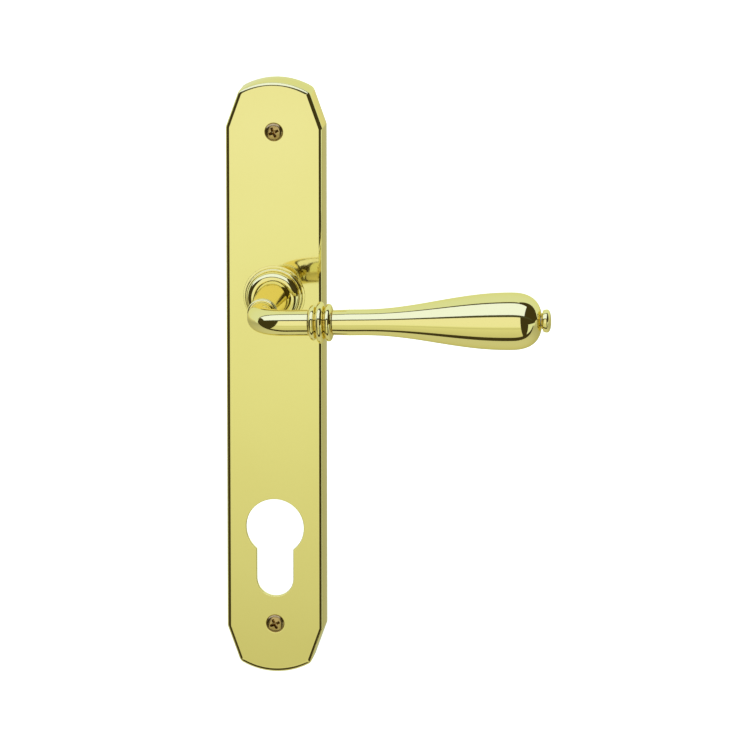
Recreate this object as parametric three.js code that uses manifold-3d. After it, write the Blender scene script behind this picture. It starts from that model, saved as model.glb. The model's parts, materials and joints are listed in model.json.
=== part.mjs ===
// Door lever handle on a long hollow backplate with a euro-profile cut-out.
//
// Millimetres. The origin is where the spindle axis meets the door face.
// +X runs along the lever, +Z is up, and +Y goes into the door, so the hand is on the -Y side.
// Heights are measured from the door face towards the hand, so a height h lies at y = -h.
// Along the arm, distances are measured from the spindle axis.

import * as THREE from 'three';
import { mergeVertices } from 'three/addons/utils/BufferGeometryUtils.js';
import Module from 'manifold-3d';

const wasm = await Module();
wasm.setup();

// ---------------------------------------------------------------- driving dimensions

// Backplate: eight sides, with a shallow arc across each end.
const PLATE_WIDTH = 37.7;
const PLATE_HEIGHT = 234;
const PLATE_DEPTH = 13;
const PLATE_WALL = 1.6;
const PLATE_CENTRE_Z = -33;
const CHAMFER_WIDTH = 5;
const CHAMFER_HEIGHT = 14;
const END_ARC_RISE = 3.9;
const EDGE_INSET = 1.6;
const EDGE_DROP = 1.7;

// Cut-out for the lock cylinder.
const CUTOUT_BELOW_SPINDLE = 92;
const CUTOUT_RADIUS = 11.3;
const CUTOUT_LEG_WIDTH = 14.3;
const CUTOUT_HEIGHT = 38.8;

// Wood screws through the plate.
const FIXING_SPACING = 195;
const FIXING_HEAD_RADIUS = 3.5;
const FIXING_SHANK_RADIUS = 1.75;
const FIXING_LENGTH = 30;
const FIXING_HEAD_RISE = 1.2;
const THREAD_PITCH = 1.6;
const THREAD_DEPTH = 0.5;

// Lever.
const LEVER_STANDOFF = 50;
const LEVER_RISE_DEG = 2;
const LEVER_TRAVEL_DEG = 40;
const TUBE_RADIUS = 4.95;
const BEND_RADIUS = 12;
const TUBE_END = 20.3;
const RING_END = 29.5;
const GRIP_END = 109.1;
const LEVER_REACH = 112.8;
const GRIP_RADIUS = 10.95;
const GRIP_SWELL_START = 41;
const GRIP_SWELL_END = 97;
const GRIP_END_BLUNTNESS = 2.6;
const STUD_RADIUS = 2;

// Bearing of the lever in the plate.
const JOURNAL_RADIUS = 7.5;
const JOURNAL_CLEARANCE = 0.08;
const BUSH_WALL = 0.7;
const COLLAR_WALL = 0.95;
const COLLAR_RISE = 2.1;
const COLLAR_BASE_RADIUS = 12;
const COLLAR_BASE_THICKNESS = 0.4;
const COLLAR_BEAD_ROOT = 10.6;
const COLLAR_BEAD_CROWN = 11.2;
const RIM_RADIUS = 10.3;

// Square spindle.
const SPINDLE_SIZE = 8;
const SPINDLE_LENGTH = 85;
const SOCKET_DEPTH_IN_NECK = 23.2;

// Return spring unit.
const HOUSING_RADIUS = 14.2;
const HOUSING_WALL = 1;
const SPRING_WIRE_RADIUS = 0.5;
const SPRING_MEAN_RADIUS = 9.6;
const SPRING_PITCH = 1.12;
const STOP_PIN_RADIUS = 0.9;
const STOP_PIN_CIRCLE = 11.4;
const DRIVER_ARM_HALF_WIDTH = 1.7;
const HOUSING_SCREW_Z = 18;

// Gap between fixed pieces that only meet, and between pieces that pass each other.
const FIT_GAP = 0.05;
const PIECE_GAP = 0.3;

// Facets round a full turn.
const ROUND = 32;
const SMALL_ROUND = 16;
const TUBE_ROUND = 16;
const PROFILE_STEPS = 4;

// ---------------------------------------------------------------- derived places

const HALF_WIDTH = PLATE_WIDTH / 2;
const HALF_HEIGHT = PLATE_HEIGHT / 2;
const HOLLOW_TOP = PLATE_DEPTH - PLATE_WALL;
const FIXING_TOP_Z = PLATE_CENTRE_Z + FIXING_SPACING / 2;
const FIXING_BOTTOM_Z = PLATE_CENTRE_Z - FIXING_SPACING / 2;
const COLLAR_TOP = PLATE_DEPTH + COLLAR_RISE;
const ARM_HEIGHT = PLATE_DEPTH + LEVER_STANDOFF;
const BUSH_BORE = JOURNAL_RADIUS + JOURNAL_CLEARANCE;
const BUSH_RADIUS = BUSH_BORE + BUSH_WALL;
const COLLAR_BORE = BUSH_RADIUS + FIT_GAP;
const COLLAR_SHANK_RADIUS = COLLAR_BORE + COLLAR_WALL;
const LEVER_RISE = THREE.MathUtils.degToRad(LEVER_RISE_DEG);
const HALF_TRAVEL = THREE.MathUtils.degToRad(LEVER_TRAVEL_DEG / 2);
const FULL_TURN = 2 * Math.PI;
const QUARTER_TURN = Math.PI / 2;

// Layers of the mechanism inside the hollow plate, as heights above the door.
const LAYER = {
  backOfCarrier: 0.4,
  coverBack: 0.5,
  coverFront: 1.3,
  driverBack: 1.6,
  armFront: 2.6,
  springStart: 3.35,
  driverFront: 6,
  housingFloorBack: 6.1,
  housingFloorFront: 6.9,
  journalEnd: 6.4,
  grooveBack: 7.2,
  grooveFront: 8.1,
  washerBack: 8.2,
  washerFront: 8.8,
  collarEnd: 9,
  nutBack: 9.1,
};

// ---------------------------------------------------------------- materials

const polishedBrass = new THREE.MeshStandardMaterial({ color: 0xe2d783, metalness: 1, roughness: 0.12 });
const innerBrass = new THREE.MeshStandardMaterial({ color: 0xb59a56, metalness: 1, roughness: 0.4 });
const screwBrass = new THREE.MeshStandardMaterial({ color: 0xb98f52, metalness: 1, roughness: 0.3 });
const nylon = new THREE.MeshStandardMaterial({ color: 0x2a2a2c, metalness: 0, roughness: 0.6 });
const bearingNylon = new THREE.MeshStandardMaterial({ color: 0xe9e6dc, metalness: 0, roughness: 0.5 });
const plainSteel = new THREE.MeshStandardMaterial({ color: 0x9fa3a8, metalness: 1, roughness: 0.35 });
const springSteel = new THREE.MeshStandardMaterial({ color: 0x6e7075, metalness: 1, roughness: 0.3 });
const castZinc = new THREE.MeshStandardMaterial({ color: 0xa7a9ab, metalness: 1, roughness: 0.5 });

// ---------------------------------------------------------------- making and cutting solids

// A body turned about +Y from a profile of [radius, place along the axis] points.
function turned(profile, facets = ROUND) {
  const points = profile.map(([radius, place]) => new THREE.Vector2(radius, place));
  return new THREE.LatheGeometry(points, facets);
}

// A body turned about the spindle axis, with its profile in heights above the door.
function turnedOnSpindle(profile, facets = ROUND) {
  return turned(profile, facets).rotateX(Math.PI);
}

// A body turned about the arm, with its profile in distances along the arm.
function turnedOnArm(profile, facets = ROUND) {
  return turned(profile, facets).rotateZ(-QUARTER_TURN);
}

// A flat outline in X and Z, raised between two heights above the door.
function raised(shape, from, to, curveSegments = SMALL_ROUND) {
  const geometry = new THREE.ExtrudeGeometry(shape, { depth: to - from, bevelEnabled: false, curveSegments });
  return geometry.rotateX(QUARTER_TURN).translate(0, -from, 0);
}

// A round bar between two heights, with its axis at x, z.
function post(x, z, radius, from, to, facets = SMALL_ROUND) {
  const geometry = new THREE.CylinderGeometry(radius, radius, to - from, facets);
  return geometry.translate(x, -(from + to) / 2, z);
}

// A box between two heights, centred at x, z.
function block(x, z, width, tall, from, to) {
  return new THREE.BoxGeometry(width, to - from, tall).translate(x, -(from + to) / 2, z);
}

function solidFrom(geometry) {
  const bare = geometry.clone();
  bare.deleteAttribute('normal');
  bare.deleteAttribute('uv');
  const merged = mergeVertices(bare);
  const corners = merged.index.array;
  const triangles = [];
  for (let i = 0; i < corners.length; i += 3) {
    const [a, b, c] = corners.slice(i, i + 3);
    if (a !== b && b !== c && c !== a) {
      triangles.push(a, b, c);
    }
  }
  const vertProperties = new Float32Array(merged.attributes.position.array);
  const triVerts = new Uint32Array(triangles);
  return new wasm.Manifold(new wasm.Mesh({ numProp: 3, vertProperties, triVerts }));
}

function geometryFrom(solid) {
  const { vertProperties, triVerts } = solid.getMesh();
  const geometry = new THREE.BufferGeometry();
  geometry.setAttribute('position', new THREE.BufferAttribute(vertProperties, 3));
  geometry.setIndex(new THREE.BufferAttribute(triVerts, 1));
  geometry.computeVertexNormals();
  return geometry;
}

// The first geometry with the added ones joined to it and the removed ones cut out of it.
function shaped(base, { add = [], remove = [] }) {
  let solid = solidFrom(base);
  for (const piece of add) {
    solid = solid.add(solidFrom(piece));
  }
  for (const tool of remove) {
    solid = solid.subtract(solidFrom(tool));
  }
  return geometryFrom(solid);
}

function named(name, geometry, material) {
  const mesh = new THREE.Mesh(geometry, material);
  mesh.name = name;
  return mesh;
}

// ---------------------------------------------------------------- shared outlines and profiles

// The backplate's outline, moved inwards by an inset, about the plate's own centre.
function plateOutline(inset) {
  const chamferLength = Math.hypot(CHAMFER_WIDTH, CHAMFER_HEIGHT);
  const normal = new THREE.Vector2(CHAMFER_HEIGHT, CHAMFER_WIDTH).divideScalar(chamferLength);
  const along = new THREE.Vector2(-normal.y, normal.x);
  const halfChord = HALF_WIDTH - CHAMFER_WIDTH;
  const arcRadius = (halfChord ** 2 + END_ARC_RISE ** 2) / (2 * END_ARC_RISE);
  const arcCentre = new THREE.Vector2(0, HALF_HEIGHT - arcRadius);
  const sideTop = new THREE.Vector2(HALF_WIDTH, HALF_HEIGHT - END_ARC_RISE - CHAMFER_HEIGHT);

  const x = HALF_WIDTH - inset;
  const chamferStart = new THREE.Vector2(x, 0);
  chamferStart.y = (normal.dot(sideTop) - inset - normal.x * x) / normal.y;
  const radius = arcRadius - inset;
  const fromCentre = chamferStart.clone().sub(arcCentre);
  const half = along.dot(fromCentre);
  const reach = -half + Math.sqrt(half ** 2 - fromCentre.lengthSq() + radius ** 2);
  const arcStart = chamferStart.clone().addScaledVector(along, reach);
  const startAngle = Math.atan2(arcStart.y - arcCentre.y, arcStart.x);

  const shape = new THREE.Shape();
  shape.moveTo(x, -chamferStart.y);
  shape.lineTo(x, chamferStart.y);
  shape.lineTo(arcStart.x, arcStart.y);
  shape.absarc(0, arcCentre.y, radius, startAngle, Math.PI - startAngle, false);
  shape.lineTo(-x, chamferStart.y);
  shape.lineTo(-x, -chamferStart.y);
  shape.lineTo(-arcStart.x, -arcStart.y);
  shape.absarc(0, -arcCentre.y, radius, Math.PI + startAngle, FULL_TURN - startAngle, false);
  shape.closePath();
  return shape;
}

// The cylinder cut-out about the centre of its round head, grown outwards all round.
function cylinderOutline(grow) {
  const headRadius = CUTOUT_RADIUS + grow;
  const legHalf = CUTOUT_LEG_WIDTH / 2 + grow;
  const footCentre = CUTOUT_RADIUS - CUTOUT_HEIGHT + CUTOUT_LEG_WIDTH / 2;
  const joint = Math.sqrt(headRadius ** 2 - legHalf ** 2);
  const startAngle = Math.atan2(-joint, legHalf);
  const shape = new THREE.Shape();
  shape.moveTo(legHalf, -joint);
  shape.absarc(0, 0, headRadius, startAngle, Math.PI - startAngle, false);
  shape.lineTo(-legHalf, footCentre);
  shape.absarc(0, footCentre, legHalf, Math.PI, FULL_TURN, false);
  shape.closePath();
  return shape;
}

// A half-round bead between two places, standing from the root radius to the crown radius.
function bead(from, to, root, crown, steps = PROFILE_STEPS) {
  const points = [];
  for (let k = 0; k <= steps; k += 1) {
    const angle = (Math.PI * k) / steps;
    const place = from + ((to - from) * (1 - Math.cos(angle))) / 2;
    points.push([root + (crown - root) * Math.sin(angle), place]);
  }
  return points;
}

// A quarter round from [radius, place] inwards to the end radius, while the place moves by rise.
function shoulder(radius, place, endRadius, rise, steps = PROFILE_STEPS) {
  const points = [];
  for (let k = 0; k <= steps; k += 1) {
    const angle = (QUARTER_TURN * k) / steps;
    points.push([endRadius + (radius - endRadius) * Math.cos(angle), place + rise * Math.sin(angle)]);
  }
  return points;
}

// A washer or ring with square corners.
function plainRing(bore, radius, from, to) {
  return [[bore, from], [radius, from], [radius, to], [bore, to], [bore, from]];
}

// ---------------------------------------------------------------- backplate

const BOSS_RADIUS = 3.3;
const BOSS_PILOT_RADIUS = 1.25;
const BOSS_PILOT_TOP = 11;
const COUNTERSINK_RIM = FIXING_HEAD_RADIUS + FIT_GAP;
const FIXING_HOLE_RADIUS = 2.2;
const EDGE_ROUND_STEPS = 2;
const END_ARC_FACETS = 12;
const CUT_MARGIN = 3;

function facePlate() {
  const outer = new THREE.ExtrudeGeometry(plateOutline(EDGE_INSET), {
    depth: PLATE_DEPTH - EDGE_DROP,
    bevelThickness: EDGE_DROP,
    bevelSize: EDGE_INSET,
    bevelSegments: EDGE_ROUND_STEPS,
    curveSegments: END_ARC_FACETS,
  });
  outer.rotateX(QUARTER_TURN).translate(0, 0, PLATE_CENTRE_Z);
  const belowDoor = block(0, PLATE_CENTRE_Z, 2 * PLATE_WIDTH, 2 * PLATE_HEIGHT, -2 * EDGE_DROP, 0);
  const hollow = raised(plateOutline(PLATE_WALL), -EDGE_DROP, HOLLOW_TOP, END_ARC_FACETS);
  hollow.translate(0, 0, PLATE_CENTRE_Z);
  const cutout = raised(cylinderOutline(0), -EDGE_DROP, PLATE_DEPTH + CUT_MARGIN);
  cutout.translate(0, 0, -CUTOUT_BELOW_SPINDLE);
  const collarHole = post(0, 0, COLLAR_SHANK_RADIUS + FIT_GAP, 0, PLATE_DEPTH + CUT_MARGIN, ROUND);
  const bosses = [];
  const pilots = [];
  for (const z of [HOUSING_SCREW_Z, -HOUSING_SCREW_Z]) {
    bosses.push(post(0, z, BOSS_RADIUS, LAYER.housingFloorFront + FIT_GAP, HOLLOW_TOP + PLATE_WALL / 2));
    pilots.push(post(0, z, BOSS_PILOT_RADIUS, 0, BOSS_PILOT_TOP));
  }
  const countersinks = [FIXING_TOP_Z, FIXING_BOTTOM_Z].map((z) => turnedOnSpindle([
    [0, HOLLOW_TOP - FIXING_HOLE_RADIUS],
    [FIXING_HOLE_RADIUS, HOLLOW_TOP - FIXING_HOLE_RADIUS],
    [FIXING_HOLE_RADIUS, PLATE_DEPTH - (COUNTERSINK_RIM - FIXING_HOLE_RADIUS)],
    [COUNTERSINK_RIM, PLATE_DEPTH],
    [COUNTERSINK_RIM, PLATE_DEPTH + CUT_MARGIN],
    [0, PLATE_DEPTH + CUT_MARGIN],
  ], TUBE_ROUND).translate(0, 0, z));
  const hollowed = shaped(outer, { remove: [belowDoor, hollow] });
  return shaped(hollowed, { add: bosses, remove: [cutout, collarHole, ...pilots, ...countersinks] });
}

// Moulded carrier that fills the hollow plate: a window round the cylinder, a pocket for the spring
// unit, and cored-out cells between ribs on the side of the door.
const CARRIER_INSET = PLATE_WALL + PIECE_GAP;
const CARRIER_FRONT = HOLLOW_TOP - PIECE_GAP;
const WINDOW_MARGIN = 3.9;
const POCKET_RADIUS = HOUSING_RADIUS + 0.5;
const POCKET_SLOT_HALF_HEIGHT = 22.5;
const POCKET_SLOT_WIDTH = 8.6;
const CELL_WIDTH = 13.2;
const CELL_HEIGHT = 9.6;
const CELL_RIB = 2;
const CELL_TOP = 8.8;
const CELL_ROWS_ABOVE = 2;
const CELL_ROWS_BELOW = 4;
const CELLS_ABOVE_FROM = 27.5;
const CELLS_BELOW_FROM = -28;

function carrierCells() {
  const cells = [];
  const rowStep = CELL_HEIGHT + CELL_RIB;
  const rows = [];
  for (let row = 0; row < CELL_ROWS_ABOVE; row += 1) {
    rows.push(CELLS_ABOVE_FROM + CELL_HEIGHT / 2 + row * rowStep);
  }
  for (let row = 0; row < CELL_ROWS_BELOW; row += 1) {
    rows.push(CELLS_BELOW_FROM - CELL_HEIGHT / 2 - row * rowStep);
  }
  for (const z of rows) {
    for (const side of [-1, 1]) {
      const x = (side * (CELL_WIDTH + CELL_RIB)) / 2;
      cells.push(block(x, z, CELL_WIDTH, CELL_HEIGHT, 0, CELL_TOP));
    }
  }
  return cells;
}

function carrier() {
  const body = raised(plateOutline(CARRIER_INSET), LAYER.backOfCarrier, CARRIER_FRONT, END_ARC_FACETS);
  body.translate(0, 0, PLATE_CENTRE_Z);
  const window = raised(cylinderOutline(WINDOW_MARGIN), 0, PLATE_DEPTH);
  window.translate(0, 0, -CUTOUT_BELOW_SPINDLE);
  const pocket = post(0, 0, POCKET_RADIUS, 0, PLATE_DEPTH, ROUND);
  const slot = block(0, 0, POCKET_SLOT_WIDTH, 2 * POCKET_SLOT_HALF_HEIGHT, 0, PLATE_DEPTH);
  const screwHoles = [FIXING_TOP_Z, FIXING_BOTTOM_Z].map(
    (z) => post(0, z, FIXING_HOLE_RADIUS, 0, PLATE_DEPTH));
  return shaped(body, { remove: [window, pocket, slot, ...screwHoles, ...carrierCells()] });
}

// ---------------------------------------------------------------- bearing of the lever

function guideCollar() {
  const baseFront = PLATE_DEPTH + COLLAR_BASE_THICKNESS;
  return turnedOnSpindle([
    [COLLAR_BORE, LAYER.collarEnd],
    [COLLAR_SHANK_RADIUS, LAYER.collarEnd],
    [COLLAR_SHANK_RADIUS, PLATE_DEPTH],
    [COLLAR_BASE_RADIUS, PLATE_DEPTH],
    [COLLAR_BASE_RADIUS, baseFront],
    ...bead(baseFront, COLLAR_TOP, COLLAR_BEAD_ROOT, COLLAR_BEAD_CROWN),
    [COLLAR_BORE, COLLAR_TOP],
    [COLLAR_BORE, LAYER.collarEnd],
  ]);
}

const NUT_RADIUS = 12.4;
const NUT_NOTCHES = 4;
const NUT_NOTCH_WIDTH = 2.4;
const NUT_NOTCH_DEPTH = 1.2;

function collarNut() {
  const ring = turnedOnSpindle(
    plainRing(COLLAR_SHANK_RADIUS + FIT_GAP, NUT_RADIUS, LAYER.nutBack, HOLLOW_TOP - FIT_GAP));
  const notches = [];
  for (let k = 0; k < NUT_NOTCHES; k += 1) {
    const notch = block(NUT_RADIUS, 0, 2 * NUT_NOTCH_DEPTH, NUT_NOTCH_WIDTH, 0, PLATE_DEPTH);
    notches.push(notch.rotateY(((k + 0.5) * FULL_TURN) / NUT_NOTCHES));
  }
  return shaped(ring, { remove: notches });
}

const BUSH_FLANGE_RADIUS = 9.4;
const BUSH_FLANGE_THICKNESS = 0.4;
const BUSH_FLANGE_FRONT = COLLAR_TOP + FIT_GAP + BUSH_FLANGE_THICKNESS;

function collarBush() {
  return turnedOnSpindle([
    [BUSH_BORE, LAYER.collarEnd],
    [BUSH_RADIUS, LAYER.collarEnd],
    [BUSH_RADIUS, COLLAR_TOP + FIT_GAP],
    [BUSH_FLANGE_RADIUS, COLLAR_TOP + FIT_GAP],
    [BUSH_FLANGE_RADIUS, BUSH_FLANGE_FRONT],
    [BUSH_BORE, BUSH_FLANGE_FRONT],
    [BUSH_BORE, LAYER.collarEnd],
  ]);
}

const WASHER_RADIUS = 10.5;

function thrustWasher() {
  return turnedOnSpindle(plainRing(BUSH_BORE, WASHER_RADIUS, LAYER.washerBack, LAYER.washerFront));
}

// Open ring that sits in the journal's groove.
const GROOVE_RADIUS = 6.8;
const RING_RADIUS = 9.2;
const RING_GAP_ANGLE = 0.9;

function retainingRing() {
  const start = -QUARTER_TURN + RING_GAP_ANGLE / 2;
  const end = start + FULL_TURN - RING_GAP_ANGLE;
  const bore = GROOVE_RADIUS + FIT_GAP;
  const shape = new THREE.Shape();
  shape.moveTo(RING_RADIUS * Math.cos(start), RING_RADIUS * Math.sin(start));
  shape.absarc(0, 0, RING_RADIUS, start, end, false);
  shape.lineTo(bore * Math.cos(end), bore * Math.sin(end));
  shape.absarc(0, 0, bore, end, start, true);
  shape.closePath();
  return raised(shape, LAYER.grooveBack + FIT_GAP, LAYER.grooveFront - FIT_GAP, ROUND);
}

// ---------------------------------------------------------------- spring unit

const JOURNAL_HOLE_RADIUS = 7.9;
const EAR_WIDTH = 7;
const EAR_END_Z = 21.2;
const EAR_BACK = 4.9;
const EAR_HOLE_RADIUS = 1.6;
const STOP_ANGLE = HALF_TRAVEL
  + Math.asin((DRIVER_ARM_HALF_WIDTH + STOP_PIN_RADIUS + PIECE_GAP / 2) / STOP_PIN_CIRCLE);

function springHousing() {
  const inner = HOUSING_RADIUS - HOUSING_WALL;
  const cup = turnedOnSpindle([
    [JOURNAL_HOLE_RADIUS, LAYER.housingFloorBack],
    [inner, LAYER.housingFloorBack],
    [inner, LAYER.backOfCarrier],
    [HOUSING_RADIUS, LAYER.backOfCarrier],
    [HOUSING_RADIUS, LAYER.housingFloorFront],
    [JOURNAL_HOLE_RADIUS, LAYER.housingFloorFront],
    [JOURNAL_HOLE_RADIUS, LAYER.housingFloorBack],
  ]);
  const ears = [];
  const holes = [];
  for (const side of [-1, 1]) {
    const middle = (side * (EAR_END_Z + HOUSING_RADIUS - HOUSING_WALL / 2)) / 2;
    const length = EAR_END_Z - HOUSING_RADIUS + HOUSING_WALL / 2;
    ears.push(block(0, middle, EAR_WIDTH, length, EAR_BACK, LAYER.housingFloorFront));
    holes.push(post(0, side * HOUSING_SCREW_Z, EAR_HOLE_RADIUS, 0, PLATE_DEPTH));
    const x = side * STOP_PIN_CIRCLE * Math.sin(STOP_ANGLE);
    const z = STOP_PIN_CIRCLE * Math.cos(STOP_ANGLE);
    holes.push(post(x, z, STOP_PIN_RADIUS + FIT_GAP, LAYER.driverFront, PLATE_DEPTH));
  }
  return shaped(cup, { add: ears, remove: holes });
}

const COVER_HOLE_RADIUS = 6.3;

function springCover() {
  const radius = HOUSING_RADIUS - HOUSING_WALL - FIT_GAP;
  return turnedOnSpindle(plainRing(COVER_HOLE_RADIUS, radius, LAYER.coverBack, LAYER.coverFront));
}

function stopPin(side) {
  const x = side * STOP_PIN_CIRCLE * Math.sin(STOP_ANGLE);
  const z = STOP_PIN_CIRCLE * Math.cos(STOP_ANGLE);
  return post(x, z, STOP_PIN_RADIUS, LAYER.driverBack, LAYER.housingFloorFront);
}

const DRIVER_HUB_RADIUS = 7.9;
const DRIVER_ARM_REACH = 12.4;
const SOCKET_GAP = 0.1;

function squareSocket(from, to) {
  const size = SPINDLE_SIZE + 2 * SOCKET_GAP;
  return block(0, 0, size, size, from, to);
}

function springDriver() {
  const hub = post(0, 0, DRIVER_HUB_RADIUS, LAYER.driverBack, LAYER.driverFront, ROUND);
  const arm = block(0, DRIVER_ARM_REACH / 2, 2 * DRIVER_ARM_HALF_WIDTH, DRIVER_ARM_REACH,
    LAYER.driverBack, LAYER.armFront);
  arm.rotateY(-HALF_TRAVEL);
  return shaped(hub, { add: [arm], remove: [squareSocket(0, PLATE_DEPTH)] });
}

// Torsion spring. Angles are measured from straight up towards the lever side. One leg stands beside
// the driver's arm, the coil winds round the hub, and the other leg rests on the lower stop's pin.
const SPRING_SIDES = 8;
const SPRING_POINTS_PER_TURN = 20;
const SPRING_STEPS = 50;
const LEG_CLEARANCE = 0.15;

function springPath() {
  const at = (angle, radius, height) => new THREE.Vector3(
    radius * Math.sin(angle), -height, radius * Math.cos(angle));
  const legGap = DRIVER_ARM_HALF_WIDTH + SPRING_WIRE_RADIUS + LEG_CLEARANCE;
  const startAngle = -HALF_TRAVEL + Math.asin(legGap / SPRING_MEAN_RADIUS);
  const pinGap = STOP_PIN_RADIUS + SPRING_WIRE_RADIUS + LEG_CLEARANCE;
  const endAngle = STOP_ANGLE - Math.asin(pinGap / STOP_PIN_CIRCLE) - 2 * FULL_TURN;
  const turns = (startAngle - endAngle) / FULL_TURN;
  const count = Math.round(turns * SPRING_POINTS_PER_TURN);
  const points = [
    at(startAngle, SPRING_MEAN_RADIUS, LAYER.driverBack + SPRING_WIRE_RADIUS),
    at(startAngle, SPRING_MEAN_RADIUS, LAYER.springStart - 2 * SPRING_WIRE_RADIUS),
  ];
  for (let k = 0; k <= count; k += 1) {
    const share = k / count;
    const angle = startAngle + (endAngle - startAngle) * share;
    points.push(at(angle, SPRING_MEAN_RADIUS, LAYER.springStart + turns * SPRING_PITCH * share));
  }
  const legEnd = LAYER.springStart + turns * SPRING_PITCH;
  points.push(at(endAngle, STOP_PIN_CIRCLE, legEnd));
  points.push(at(endAngle, STOP_PIN_CIRCLE + SPRING_WIRE_RADIUS, legEnd));
  return new THREE.CatmullRomCurve3(points);
}

function returnSpring() {
  const section = new THREE.Shape().absarc(0, 0, SPRING_WIRE_RADIUS, 0, FULL_TURN, false);
  return new THREE.ExtrudeGeometry(section, {
    steps: SPRING_STEPS,
    curveSegments: SPRING_SIDES / 2,
    extrudePath: springPath(),
  });
}

const HOUSING_SCREW_HEAD_RADIUS = 2.7;
const HOUSING_SCREW_HEAD_BACK = 3.1;
const HOUSING_SCREW_SHANK_RADIUS = 1.2;
const HOUSING_SCREW_END = 10.6;
const HOUSING_SCREW_CHAMFER = 0.5;
const CROSS_WIDTH = 0.9;
const CROSS_DEPTH = 0.9;
const CROSS_REACH = 1.25;

// Two crossed slots cut into a screw head between two heights.
function crossSlots(z, reach, from, to) {
  return [block(0, z, reach, CROSS_WIDTH, from, to), block(0, z, CROSS_WIDTH, reach, from, to)];
}

function housingScrew(z) {
  const headFront = EAR_BACK - FIT_GAP;
  const body = turnedOnSpindle([
    [0, HOUSING_SCREW_HEAD_BACK],
    [HOUSING_SCREW_HEAD_RADIUS - HOUSING_SCREW_CHAMFER, HOUSING_SCREW_HEAD_BACK],
    [HOUSING_SCREW_HEAD_RADIUS, HOUSING_SCREW_HEAD_BACK + HOUSING_SCREW_CHAMFER],
    [HOUSING_SCREW_HEAD_RADIUS, headFront],
    [HOUSING_SCREW_SHANK_RADIUS, headFront],
    [HOUSING_SCREW_SHANK_RADIUS, HOUSING_SCREW_END - HOUSING_SCREW_CHAMFER],
    [HOUSING_SCREW_SHANK_RADIUS - HOUSING_SCREW_CHAMFER, HOUSING_SCREW_END],
    [0, HOUSING_SCREW_END],
  ], SMALL_ROUND).translate(0, 0, z);
  const slotReach = CROSS_REACH * HOUSING_SCREW_HEAD_RADIUS;
  return shaped(body, { remove: crossSlots(z, slotReach, 0, HOUSING_SCREW_HEAD_BACK + CROSS_DEPTH) });
}

// ---------------------------------------------------------------- wood screws

const THREAD_TOP = 3;
const SCREW_POINT_LENGTH = 3.5;
const HEAD_STEPS = 6;

function fixingScrew(z) {
  const tip = PLATE_DEPTH - FIXING_LENGTH;
  const rootRadius = FIXING_SHANK_RADIUS - THREAD_DEPTH;
  const profile = [[0, tip], [rootRadius, tip + SCREW_POINT_LENGTH]];
  const threads = Math.floor((THREAD_TOP - tip - SCREW_POINT_LENGTH) / THREAD_PITCH);
  for (let k = 0; k < threads; k += 1) {
    const start = THREAD_TOP - (threads - k) * THREAD_PITCH;
    profile.push([rootRadius, start], [FIXING_SHANK_RADIUS, start + THREAD_PITCH / 2]);
  }
  profile.push(
    [rootRadius, THREAD_TOP],
    [FIXING_SHANK_RADIUS, THREAD_TOP + THREAD_DEPTH],
    [FIXING_SHANK_RADIUS, PLATE_DEPTH - (FIXING_HEAD_RADIUS - FIXING_SHANK_RADIUS)],
    [FIXING_HEAD_RADIUS, PLATE_DEPTH],
    ...shoulder(FIXING_HEAD_RADIUS, PLATE_DEPTH, 0, FIXING_HEAD_RISE, HEAD_STEPS).slice(1),
  );
  const body = turnedOnSpindle(profile, SMALL_ROUND).translate(0, 0, z);
  const slotReach = CROSS_REACH * FIXING_HEAD_RADIUS;
  const slots = crossSlots(z, slotReach, PLATE_DEPTH - CROSS_DEPTH, PLATE_DEPTH + CUT_MARGIN);
  return shaped(body, { remove: slots });
}

// ---------------------------------------------------------------- lever

const RIM_BACK = BUSH_FLANGE_FRONT + 2 * FIT_GAP;
const JOURNAL_CHAMFER = 0.4;
const RIM_WIDTH = 0.6;
const SHOULDER_END_RADIUS = 7.4;
const SHOULDER_RISE = 2.4;
const BELL_END = ARM_HEIGHT - 19;
const BELL_STEPS = 5;
const BELL_SWEEP = 1.1;
const ROOT_BEAD_CROWN = TUBE_RADIUS + 0.9;
const ROOT_BEAD_WIDTH = 1.4;
const ROOT_BEAD_MIDDLE = BELL_END + ROOT_BEAD_WIDTH;
const ROOT_BEAD_END = BELL_END + 2 * ROOT_BEAD_WIDTH;
const SET_SCREW_HEIGHT = 20.9;
const SET_SCREW_RADIUS = 2;
const STUD_HOLE_RADIUS = STUD_RADIUS + FIT_GAP;
const STUD_START = 12.5;
const ELBOW_STEPS = 14;
const BEND_STEPS = 9;

// The direction of the arm, raised a little above square to the plate's long side.
const armDirection = new THREE.Vector3(Math.cos(LEVER_RISE), 0, Math.sin(LEVER_RISE));

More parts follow.
